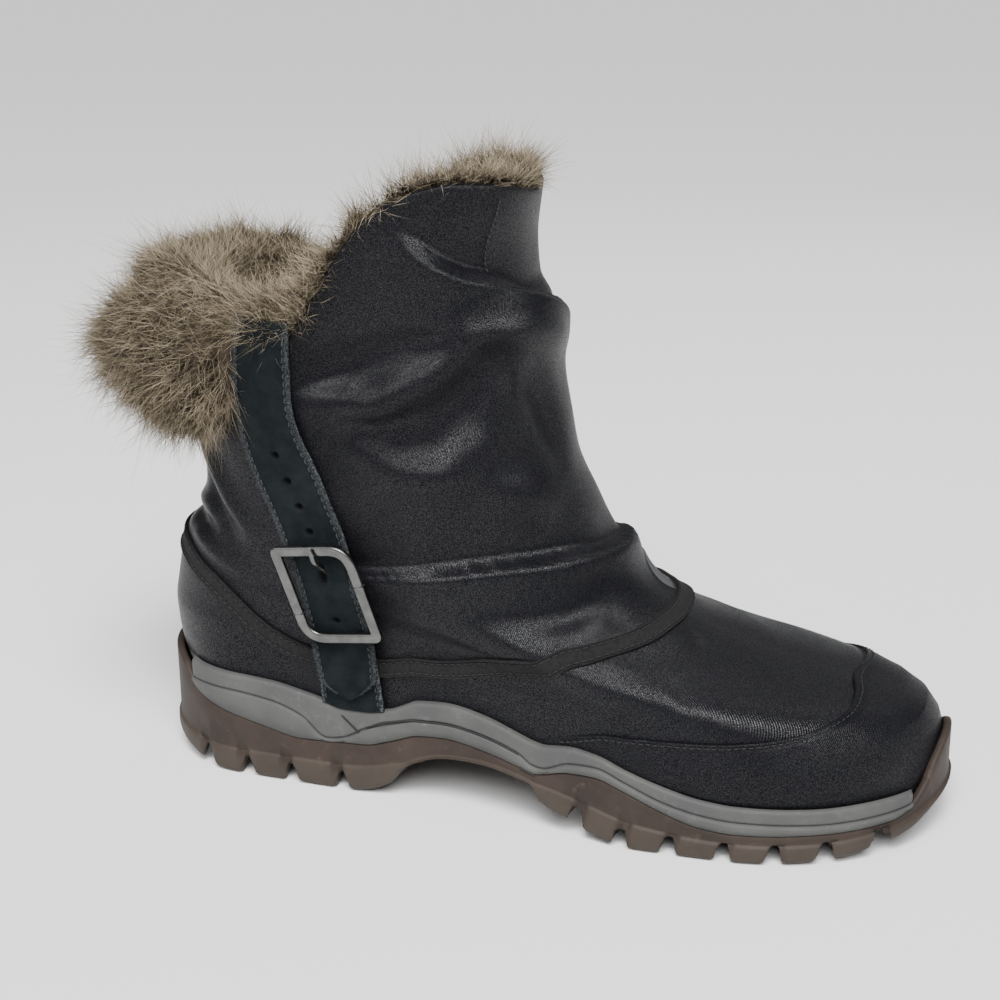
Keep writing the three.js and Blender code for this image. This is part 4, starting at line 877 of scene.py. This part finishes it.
def suede_strap(name, line, length, thick, cells, with_holes):
    """A strap as a closed loop across, carried down its line. Its face crowns slightly, is drawn
    in along the stitches by a bell of the distance, and dips sharply inside each round hole."""
    face_points = 45
    across = np.concatenate([
        np.linspace(-1, 1, face_points), [1.0, 1.0, 1.0], np.linspace(0.97, -0.97, 6), [-1.0, -1.0, -1.0],
    ])
    level = thick * np.concatenate([
        np.ones(face_points), [0.75, 0.5, 0.2], np.zeros(6), [0.2, 0.5, 0.75],
    ])
    run, across_grid = np.meshgrid(np.linspace(0, 1, cells), across, indexing="ij")
    level = np.broadcast_to(level, run.shape).copy()
    face = np.broadcast_to(np.arange(len(across)) < face_points, run.shape)
    edge = np.abs(across_grid)
    crown = 0.16 * np.cos(across_grid * np.pi / 2) - 0.28 * np.clip(edge - 0.93, 0, 1) / 0.07
    level += np.where(face, crown - 0.22 * np.exp(-(((edge - 0.80) / 0.035) ** 2)), 0)
    shade = np.clip((edge - 0.86) / 0.12, 0, 1)
    if with_holes:
        for hole_run, hole_across in holes:
            down = (run - hole_run) * length
            wide = (across_grid - hole_across) * strap_width / 2
            if hole_run == prong_hole:
                down = down / 2.0
            hole = np.clip(1.45 - np.hypot(down, wide), 0, 0.5) / 0.5
            level -= np.where(face, hole * (thick - 0.25), 0)
            # inside a hole the shade number drops below nothing: there the material paints shade near black
            shade = np.where(face, np.minimum(shade, 1 - hole), shade) - np.where(face, hole * 0.5, 0)
    points, _ = strap_surface(line, run, across_grid, strap_lift + level)
    ends = points[[0, -1]].mean(1)[:, None, None].repeat(points.shape[1], 2)
    points = np.concatenate([ends[0], points, ends[1]])
    shade = np.concatenate([shade[:1], shade, shade[-1:]])
    uv = np.stack([across_grid * strap_width / 2000, run * length / 1000], -1)
    uv = np.concatenate([uv[:1], uv, uv[-1:]])
    return grid_piece(name, points, uv, wrap=True, colour=shade)


strap = suede_strap("suede_strap", strap_line, strap_length, strap_thick, 300, True)
anchor = suede_strap("anchor_strap", anchor_line, anchor_length, anchor_thick, 70, False)
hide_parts("strap")
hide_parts("strap_anchor")


def suede(name, dark, light, brushed):
    """Brushed suede: a short nap whose colour is cloudy, paler where an edge is rubbed, with the
    shade attribute telling where that is, and near black inside punched holes, which is painted shade."""
    material, node, feed = new_material(name, dark, 0.92)
    body = node("ShaderNodeTexCoord").outputs["Object"]
    nap = noise(node, body, 1400, 3.0, 0.7)
    cloud = noise(node, body, 160, 4.0, 0.6)
    shade = node("ShaderNodeAttribute", attribute_name="shade").outputs["Fac"]
    clouds = ramp(node, cloud, [(0.35, dark), (0.7, light)])
    speck = ramp(node, nap, [(0.42, (0, 0, 0)), (0.62, (1, 1, 1))])
    face = mixed(node, combined(node, "MULTIPLY", shade, speck), clouds, brushed)
    # painted shade: where the shade attribute is below nothing, inside a hole, the colour goes near black
    feed("Base Color", mixed(node, ranged(node, shade, -0.5, -0.05, 0, 1), (0.002, 0.002, 0.002), face))
    feed("Normal", relief(node, nap, 0.8, 0.0003))
    feed("Specular IOR Level", 0.12)
    return material


blue_black = suede(
    "blue_black_suede", (0.0035, 0.0055, 0.0065), (0.009, 0.012, 0.0135), (0.10, 0.11, 0.115)
)
strap.data.materials.append(blue_black)
anchor.data.materials.append(blue_black)
grey_thread = thread_material("grey_thread", (0.020, 0.023, 0.025))
strap_seam_lift = strap_lift + strap_thick - 0.05
anchor_seam_lift = strap_lift + anchor_thick - 0.1
for name, line, lift, where, span in (
    ("strap_stitches_back", strap_line, strap_seam_lift, -stitch_line, (0.02, 0.93)),
    ("strap_stitches_front", strap_line, strap_seam_lift, stitch_line, (0.02, 0.93)),
    ("anchor_stitches_back", anchor_line, anchor_seam_lift, -stitch_line, (0.6, 0.98)),
    ("anchor_stitches_front", anchor_line, anchor_seam_lift, stitch_line, (0.6, 0.98)),
):
    run = np.linspace(*span, 500)
    path, normals = strap_surface(line, run, np.full(500, where), np.full(500, lift))
    row = stitch_bars(name, path, normals, 2.7, 1.9, 0.5)
    row.data.materials.append(grey_thread)


side_limit = 68.0  # no hair reaches further to either side


def spikes(name, root, way, length, thick, bend, twist, shade):
    """Hairs as three-sided tapered spikes of two segments and a tip, each leaving its root along
    way and bent along bend, more so towards the tip, by the square of the share of its length.
    A hair whose tip would pass the side limit is shortened."""
    count = len(root)
    root_y = np.abs(root[:, 1])
    tip_y = np.abs(root[:, 1] + (way + bend)[:, 1] * length)
    length = length * np.clip((side_limit - root_y) / np.maximum(tip_y - root_y, 0.1), 0.3, 1)
    side_way = unit(np.cross(way, np.stack([np.sin(twist), np.cos(twist), np.full(count, 0.3)], -1)))
    over = unit(np.cross(way, side_way))
    rings = []
    for share, girth in ((0.0, 1.0), (0.5, 0.75)):
        centre = root + way * (length * share)[:, None] + bend * (length * share**2)[:, None]
        for k in range(3):
            angle = 2 * np.pi * k / 3
            ring = side_way * np.cos(angle) + over * np.sin(angle)
            rings.append(centre + ring * (thick * girth / 2)[:, None])
    rings.append(root + way * length[:, None] + bend * length[:, None])
    points = np.stack(rings, 1).reshape(-1, 3)
    pattern = np.array([
        (0, 2, 1), (0, 1, 4), (0, 4, 3), (1, 2, 5), (1, 5, 4), (2, 0, 3), (2, 3, 5),
        (3, 4, 6), (4, 5, 6), (5, 3, 6),
    ])
    faces = (pattern[None] + 7 * np.arange(count)[:, None, None]).reshape(-1, 3)
    up_hair = np.array([0, 0, 0, 0.5, 0.5, 0.5, 1.0])
    uv = np.stack([np.repeat(shade, 7), np.tile(up_hair, count)], -1)
    return mesh_piece(name, points, faces, uv[faces], merge=False)


# Fuzz on the strap's raw edges: very short pale fibres.
dice = np.random.default_rng(7)
count = 6000
run = dice.uniform(0.0, 0.97, count)
which = np.where(dice.uniform(size=count) < 0.5, -1.0, 1.0)
root, normals = strap_surface(
    strap_line, run, which * dice.uniform(stitch_line, 1.0, count), np.full(count, 3.2)
)
towards, _ = strap_surface(strap_line, run, which * 1.3, np.full(count, 3.2))
way = unit(unit(towards - root) * 0.7 + normals * 0.6 + dice.normal(size=(count, 3)) * 0.5)
fuzz = spikes("strap_fuzz", root, way, dice.uniform(0.5, 1.2, count), np.full(count, 0.13),
              dice.normal(size=(count, 3)) * 0.2, dice.uniform(0, 6, count), dice.uniform(size=count))
fuzz.data.materials.append(
    suede("pale_fibre", (0.05, 0.056, 0.06), (0.09, 0.096, 0.10), (0.1, 0.105, 0.11))
)


# Buckle
# Cast zinc in a light gunmetal plating: a leaning frame with two sharp and two round corners, a
# hinge bar under the strap that dips at its ends, and a prong that comes up through the strap.
buckle_x, buckle_z = 0.272, 0.346
frame_width, frame_height, frame_bar, frame_corner = 30.0, 37.5, 3.7, 9.0
frame_lift = strap_lift + 2 * strap_thick + 0.9
ring_steps = 300
seat_turn, seat_up = on_side(
    np.array([buckle_x * foot_length - heel_setback]), np.array([buckle_z * shaft_height])
)
buckle_middle = last(seat_turn, seat_up)[0] + np.array([0, 0, 0.9])
buckle_out = last_normal(seat_turn, seat_up)[0]
buckle_up = unit(np.array([0, 0, 1.0]) - buckle_out * buckle_out[2])
buckle_side = np.cross(buckle_up, buckle_out)


def on_buckle(points):
    """Points given along the buckle's side, up and out directions, placed on the boot."""
    return buckle_middle + points @ np.stack([buckle_side, buckle_up, buckle_out])


def leaning_path(width, height, corner, steps):
    """A closed path round a parallelogram: its corners are quadratic curves, two of them as long
    as corner says and two sharp ones."""

    def heading(degrees, length):
        return np.array([np.cos(np.radians(degrees)), np.sin(np.radians(degrees))]) * length

    t = np.linspace(0, 1, 14)[:, None]

    def bend_at(before, at, after):
        return before * (1 - t) ** 2 + 2 * at * t * (1 - t) + after * t**2

    lean_across, lean_down, sharp = 7.8, -75.5, 1.1
    u, v = heading(lean_across, width / 2), heading(lean_down, height / 2)
    au, av = heading(lean_across, corner), heading(lean_down, corner)
    su, sv = heading(lean_across, sharp), heading(lean_down, sharp)
    corners = [
        bend_at(-u - v + sv, -u - v, -u - v + su), bend_at(u - v - au, u - v, u - v + av),
        bend_at(u + v - sv, u + v, u + v - su), bend_at(v - u + au, v - u, v - u - av),
    ]
    loop = np.concatenate(corners + [corners[0][:1]])
    step = np.r_[0, np.cumsum(np.linalg.norm(np.diff(loop, axis=0), axis=1))]
    where = np.linspace(0, step[-1], steps, endpoint=False)
    return np.stack([np.interp(where, step, loop[:, k]) for k in range(2)], -1)


def swept(name, path, out, widths, heights, sides=14, closed=False, power=2.6):
    """A bar along a path: its section is a superellipse, wide across the path and high along
    out, and it is closed on itself or by the middles of its two ends."""
    run = unit(np.roll(path, -1, 0) - np.roll(path, 1, 0)) if closed else unit(np.gradient(path, axis=0))
    across = unit(np.cross(run, out))
    over = unit(np.cross(across, run))
    angle = np.arange(sides) * 2 * np.pi / sides
    c, s = np.cos(angle), np.sin(angle)
    c, s = np.sign(c) * np.abs(c) ** (2 / power), np.sign(s) * np.abs(s) ** (2 / power)
    ring = (across[:, None] * (c[:, None] * widths[:, None, None] / 2)
            + over[:, None] * (s[:, None] * heights[:, None, None] / 2))
    points = path[:, None] + ring
    if closed:
        points = np.concatenate([points, points[:1]])
    else:
        tips = path[[0, -1]][:, None, None].repeat(sides, 2)
        points = np.concatenate([tips[0], points, tips[1]])
    return grid_piece(name, points, wrap=True)


loop = leaning_path(
    frame_width - frame_bar, frame_height - frame_bar, frame_corner - frame_bar / 2, ring_steps
)
frame_path = on_buckle(np.column_stack([loop, np.full(ring_steps, frame_lift + 1.0)]))
bar_width, bar_height = np.full(ring_steps, frame_bar), np.full(ring_steps, 2.2)
buckle = swept("buckle_ring", frame_path, buckle_out, bar_width, bar_height, 18, True, 3.0)
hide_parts("buckle_frame")
# Two thin dark bars across the frame, where it is split, are painted shade.
for tag, spot in (("front", 0.335), ("back", 0.8)):
    k = int(spot * ring_steps)
    bar_run = unit(frame_path[k + 1] - frame_path[k - 1])
    bar_across = unit(np.cross(bar_run, buckle_out))
    cut_path = frame_path[k] + bar_across * np.linspace(-1.93, 1.93, 12)[:, None]
    split = swept(
        f"buckle_split_{tag}", cut_path, buckle_out, np.full(12, 0.45), np.full(12, 2.3), 8, False, 4.0
    )
    split.data.materials.append(dark_line)
hinge, hinge_half, hinge_down = np.radians(32), 14.4, 2.0
span = np.linspace(-hinge_half, hinge_half, 60)
dip = 1.2 * (span / hinge_half) ** 2
end_lift = np.clip((np.abs(span) - 12.6) / 1.6, 0, 1)
height = (strap_lift + 0.85 - dip) * (1 - end_lift) + (frame_lift + 0.6) * end_lift
bar_path = on_buckle(np.column_stack([
    span * np.cos(hinge), span * np.sin(hinge) - hinge_down, height,
]))
hinge_bar = swept("buckle_hinge_bar", bar_path, buckle_out, np.full(60, 2.0), np.full(60, 1.1))
t = np.linspace(0, 1, 50)
reach = 1.2 + t * 19.6
prong_lift = np.interp(reach, [0, 8, 12.5, 15.2], [
    strap_lift + 0.7, strap_lift + 0.9, frame_lift + 0.2, frame_lift + 2.9,
])
prong_lift = np.convolve(np.pad(prong_lift, 3, mode="edge"), np.ones(7) / 7, "valid")
lean = np.radians(99)
prong_path = on_buckle(np.column_stack([
    reach * np.cos(lean), reach * np.sin(lean) - hinge_down, prong_lift,
]))
girth = 2.0 * np.sqrt(np.clip(np.minimum(t * 14, (1 - t) * 9), 0.01, 1)) * (1 - 0.18 * t)
prong = swept("buckle_tongue", prong_path, buckle_out, girth, girth * 0.72, 14, False, 2.2)
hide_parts("buckle_prong")


def gunmetal(name, colour):
    """Plated cast metal: fine brushed streaks and small dull spots."""
    material, node, feed = new_material(name, colour, 0.3, 1.0)
    body = node("ShaderNodeTexCoord").outputs["Object"]
    stretched = node("ShaderNodeMapping", [("Vector", body), ("Scale", (300, 300, 3000))])
    streak = noise(node, stretched.outputs["Vector"], 1.0, 3.0)
    spots = noise(node, body, 260, 4.0)
    feed("Base Color", ramp(node, spots, [(0.35, tuple(c * 0.72 for c in colour)), (0.62, colour)]))
    feed("Roughness", ranged(node, streak, 0, 1, 0.2, 0.44))
    feed("Normal", relief(node, spots, 0.25, 0.0002))
    return material


plated = gunmetal("light_gunmetal", (0.15, 0.15, 0.145))
for piece in (buckle, hinge_bar, prong):
    piece.data.materials.append(plated)


# Fur
# Dyed rabbit-like pile, beige-brown with dark roots, glued inside the shaft and turned out behind
# into a thick roll. A dark skin carries tens of thousands of single bent hairs in small tufts.
cuff = np.array([  # turn, out, low, high
    (121, 0.07, 0.62, 0.79), (128, 0.15, 0.59, 0.815), (140, 0.24, 0.575, 0.835),
    (155, 0.32, 0.585, 0.84), (180, 0.36, 0.6, 0.83),
])
cuff_start, cuff_turns = 121, 118
pile_depth = 7.0


def cuff_point(share, around, grow):
    """A point of the roll: an oval section, carried round the back of the shaft, whose reach and
    whose lower and upper edges come from the table. It is fullest below its middle and is creased
    along its upper outer side. grow moves a point out of the section."""
    turn = cuff_start + cuff_turns * share
    fold = fold_turn(turn)
    low, high = column(cuff, 2, fold) * shaft_height, column(cuff, 3, fold) * shaft_height
    out = last_normal(turn, np.full(np.shape(turn), 0.7))
    out = unit(out * np.array([1, 1, 0.0]))
    angle = 2 * np.pi * around
    belly = 0.12 * np.exp(-((np.sin(angle) + 0.25) / 0.4) ** 2)
    reach = column(cuff, 1, fold) * ball_width * (1 - 0.30 * np.clip(np.sin(angle), 0, 1) + belly)
    crease = np.abs(np.mod(around, 1) - 0.13 - 0.03 * np.sin(share * 11)) / 0.035
    grow = grow - 3.2 * np.exp(-crease**2) * np.sin(np.pi * np.clip(share, 0, 1))
    point = last(turn, np.full(np.shape(turn), 0.7))
    point = point + out * (reach * (0.42 + 0.58 * np.cos(angle)) + grow)[..., None]
    point[..., 2] = (low + high) / 2 + ((high - low) / 2 + grow) * np.sin(angle)
    return point


share, turn_round = np.meshgrid(np.linspace(0, 1, 120), np.arange(60) / 60, indexing="ij")
lumps = np.sin(share * 41 + turn_round * 9) + np.sin(share * 23 - turn_round * 17 + 1)
body = cuff_point(share, turn_round, -2.4 + 0.8 * lumps)
ends = body[[0, -1]].mean(1)[:, None, None].repeat(60, 2)
cuff_skin = grid_piece("fur_cuff_skin", np.concatenate([ends[0], body, ends[1]]), wrap=True, flip=True)
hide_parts("fur_cuff")

turn, share = np.meshgrid(np.arange(180) * 2.0, np.linspace(0, 1, 101))
edge = collar_top(turn)
crest = edge + column(collar, 2, fold_turn(turn))
# the skin climbs the cloth, crosses its crest between these two shares and goes down inside
crest_from, crest_to, lining_reach = 0.5, 0.55, 0.62
crossed = np.clip((share - crest_from) / (crest_to - crest_from), 0, 1)
below = np.maximum(1 - share / crest_from, 0) + np.maximum((share - crest_to) / (1 - crest_to), 0)
lining_up = crest - 0.004 - (crest - edge + lining_reach) * below
depth = -wall - 0.8 - (pile_depth - 2.3) * crossed
lining_up = np.clip(lining_up, 0.04, 1)
lining_points = cloth(turn, lining_up, depth)
lining_points = np.concatenate([lining_points, lining_points[:1]])
lining_skin = grid_piece("fur_lining_skin", lining_points, wrap=True)
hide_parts("fur_lining")


def fur_colour(name):
    """Fur: the hair's own number and the place choose between straw, beige and brown, and the
    share along the hair runs from a dark root to a pale tip."""
    material, node, feed = new_material(name, (0.3, 0.24, 0.17), 0.6)
    place = node("ShaderNodeTexCoord")
    split = node("ShaderNodeSeparateXYZ", [("Vector", place.outputs["UV"])])
    tuft = noise(node, place.outputs["Object"], 75, 3.0)
    chosen = combined(node, "MULTIPLY", combined(node, "ADD", split.outputs["X"], tuft), 0.5)
    tips = ramp(node, chosen, [
        (0.25, (0.055, 0.042, 0.026)), (0.42, (0.16, 0.125, 0.080)), (0.58, (0.31, 0.25, 0.165)),
        (0.78, (0.52, 0.44, 0.32)),
    ])
    darkness = [(up_hair, (grey,) * 3) for up_hair, grey in ((0.0, 0.12), (0.5, 0.7), (1.0, 1.1))]
    roots = ramp(node, split.outputs["Y"], darkness)
    feed("Base Color", mixed(node, 1.0, tips, roots, "MULTIPLY"))
    feed("Specular IOR Level", 0.3)
    return material


pile = fur_colour("beige_brown_pile")
hide = moulded("pile_backing", (0.030, 0.021, 0.014), (0.05, 0.036, 0.025), 0.95, 900, 0.0008, 0.1)
for piece in (cuff_skin, lining_skin):
    piece.data.materials.append(hide)


def tufted(root, way, length, dice, spread, tuft):
    """Hair directions in tufts: space is cut in cells of a tuft's size, each with a lean of its
    own, and the hairs of a cell draw together towards their common tip, besides a little chance."""
    jitter = root + dice.normal(size=root.shape) * tuft * 0.22
    cell = np.floor(jitter / tuft)
    key = cell @ np.array([12.9898, 78.233, 37.719])
    lean = np.stack([np.sin(key * k) * 4375.85 % 2 - 1 for k in (1.0, 1.7, 2.3)], -1)
    centre = (cell + 0.5 + lean * 0.3) * tuft
    drawn = (centre - root) * 0.75 / length[:, None]
    drawn -= way * (drawn * way).sum(-1, keepdims=True)
    return unit(way + lean * spread + drawn + dice.normal(size=root.shape) * spread * 0.35)


for part in range(2):
    dice = np.random.default_rng(11 + part)
    count = 16000
    share = (part + dice.uniform(size=count)) / 2
    around_share = dice.uniform(-0.34, 0.40, count)
    root = cuff_point(share, around_share, np.full(count, -3.0))
    way = unit(cuff_point(share, around_share, np.full(count, 3.0)) - root)
    length = dice.uniform(5.5, 10.0, count) + 4.5 * (dice.uniform(size=count) < 0.08)
    way = tufted(root, unit(way + np.array([0, 0, -0.15])), length, dice, 0.85, 4.6)
    bend = dice.normal(size=(count, 3)) * 0.5 + np.array([0, 0, -0.2])
    hairs = spikes(f"cuff_hairs_{part}", root, way, length, dice.uniform(0.16, 0.26, count), bend,
                   dice.uniform(0, 6, count), dice.uniform(size=count))
    hairs.data.materials.append(pile)

# Inside the shaft and over its edge: on the pile's outer face the hairs lean out over the cloth,
# on its crest they stand, and inside they lean in and up.
dice = np.random.default_rng(31)
count = 19800
turn = dice.uniform(0, 360, count)
side_hairs = 5500  # the first ones all stand where the pile shows at the sides
turn[:side_hairs] = (
    np.where(dice.uniform(size=side_hairs) < 0.6, 1, -1) * dice.uniform(74, 128, side_hairs)
)
fold = fold_turn(turn)
edge = collar_top(turn)
crest = edge + column(collar, 2, fold)
back = np.clip((fold - 80) / 20, 0, 1)
outer = dice.uniform(size=count) < 0.3
outer[:side_hairs] = True
inner_up = crest - dice.uniform(size=count) ** 1.6 * (0.10 + 0.12 * back)
outer_up = edge - 0.006 + dice.uniform(size=count) * (crest - edge + 0.004)
up = np.clip(np.where(outer, outer_up, inner_up), 0, 1)
depth = np.where(outer, -wall - 1.0, -wall - pile_depth + 1.5)
on_crest = ~outer & (dice.uniform(size=count) < 0.4)
up = np.where(on_crest, crest - 0.006, up)
depth = np.where(on_crest, -wall - dice.uniform(1, pile_depth - 1.5, count), depth)
normals = last_normal(turn, up)
root = cloth(turn, up, depth)
aim = np.where(outer, 0.2 + 0.4 * back, np.where(on_crest, dice.uniform(-0.4, 0.3, count), -0.9))
full_crest = np.exp(-(((fold - 62) / 16) ** 2))
length = dice.uniform(4.5, 8.0, count) * (1 + 0.45 * back + 0.35 * full_crest)
length = length + 3.5 * (dice.uniform(size=count) < 0.08)
way = tufted(root, unit(normals * aim[:, None] + np.array([0, 0, 0.85])), length, dice, 0.6, 4.0)
bend = dice.normal(size=(count, 3)) * 0.45 + normals * np.where(aim > 0, 0.35, 0)[:, None]
hairs = spikes("lining_hairs", root, way, length, dice.uniform(0.14, 0.24, count), bend,
               dice.uniform(0, 6, count), dice.uniform(size=count))
hairs.data.materials.append(pile)


# Floor, light and camera
# A pale seamless floor under soft studio light, seen from the outer side, a little in front.
floor_reach = 15
floor_mesh = bpy.data.meshes.new("floor")
floor_corners = [(-1, -1), (1, -1), (1, 1), (-1, 1)]
floor_mesh.from_pydata([(floor_reach * x, floor_reach * y, 0) for x, y in floor_corners], [], [(0, 1, 2, 3)])
floor = bpy.data.objects.new("floor", floor_mesh)
bpy.context.scene.collection.objects.link(floor)
floor_mesh.materials.append(new_material("pale_paper", (0.9, 0.9, 0.9), 0.9)[0])
world = bpy.data.worlds.new("studio")
bpy.context.scene.world = world
world.use_nodes = True
world.node_tree.nodes["Background"].inputs["Color"].default_value = (1, 1, 1, 1)
world.node_tree.nodes["Background"].inputs["Strength"].default_value = 0.22


def stand(name, data, place, back):
    """Puts a light or a camera at a place. It looks the opposite way to back, and stands level:
    its side is the cross product of the upright and back."""
    back = unit(np.array(back, float))
    side_way = unit(np.cross([0, 0, 1.0], back))
    axes = np.stack([side_way, np.cross(back, side_way), back], 1)
    item = bpy.data.objects.new(name, data)
    bpy.context.scene.collection.objects.link(item)
    item.matrix_world = Matrix([(*row, p) for row, p in zip(axes, place)] + [(0, 0, 0, 1)])
    return item


for name, place, aim, size, power in (
    ("key", (0.30, -0.80, 1.5), (0.1, 0, 0.08), 0.6, 28),
    ("fill", (-0.9, -0.9, 0.6), (0.1, 0, 0.1), 0.9, 5),
    ("back", (0.5, 0.9, 0.9), (0.1, 0, 0.12), 0.7, 2.5),
):
    data = bpy.data.lights.new(name, "AREA")
    data.shape = "SQUARE"
    data.size = size
    data.energy = power
    stand(name, data, place, np.array(place) - np.array(aim))
data = bpy.data.lights.new("ceiling", "SUN")
data.energy = 3.9
data.angle = np.radians(45)
stand("ceiling", data, (0, 0, 0), (0.25, -0.75, 1.0))

target = np.array([0.105, 0.002, 0.1])
elevation, azimuth, distance = np.radians(18), np.radians(17), 0.6
level_way = np.array([np.sin(azimuth), -np.cos(azimuth), 0])
back_way = level_way * np.cos(elevation) + np.array([0, 0, np.sin(elevation)])
data = bpy.data.cameras.new("camera")
data.sensor_width = 36
data.lens = 36 * 1.725
data.shift_x = -0.038
data.shift_y = 0.003
bpy.context.scene.camera = stand("camera", data, target + distance * back_way, back_way)
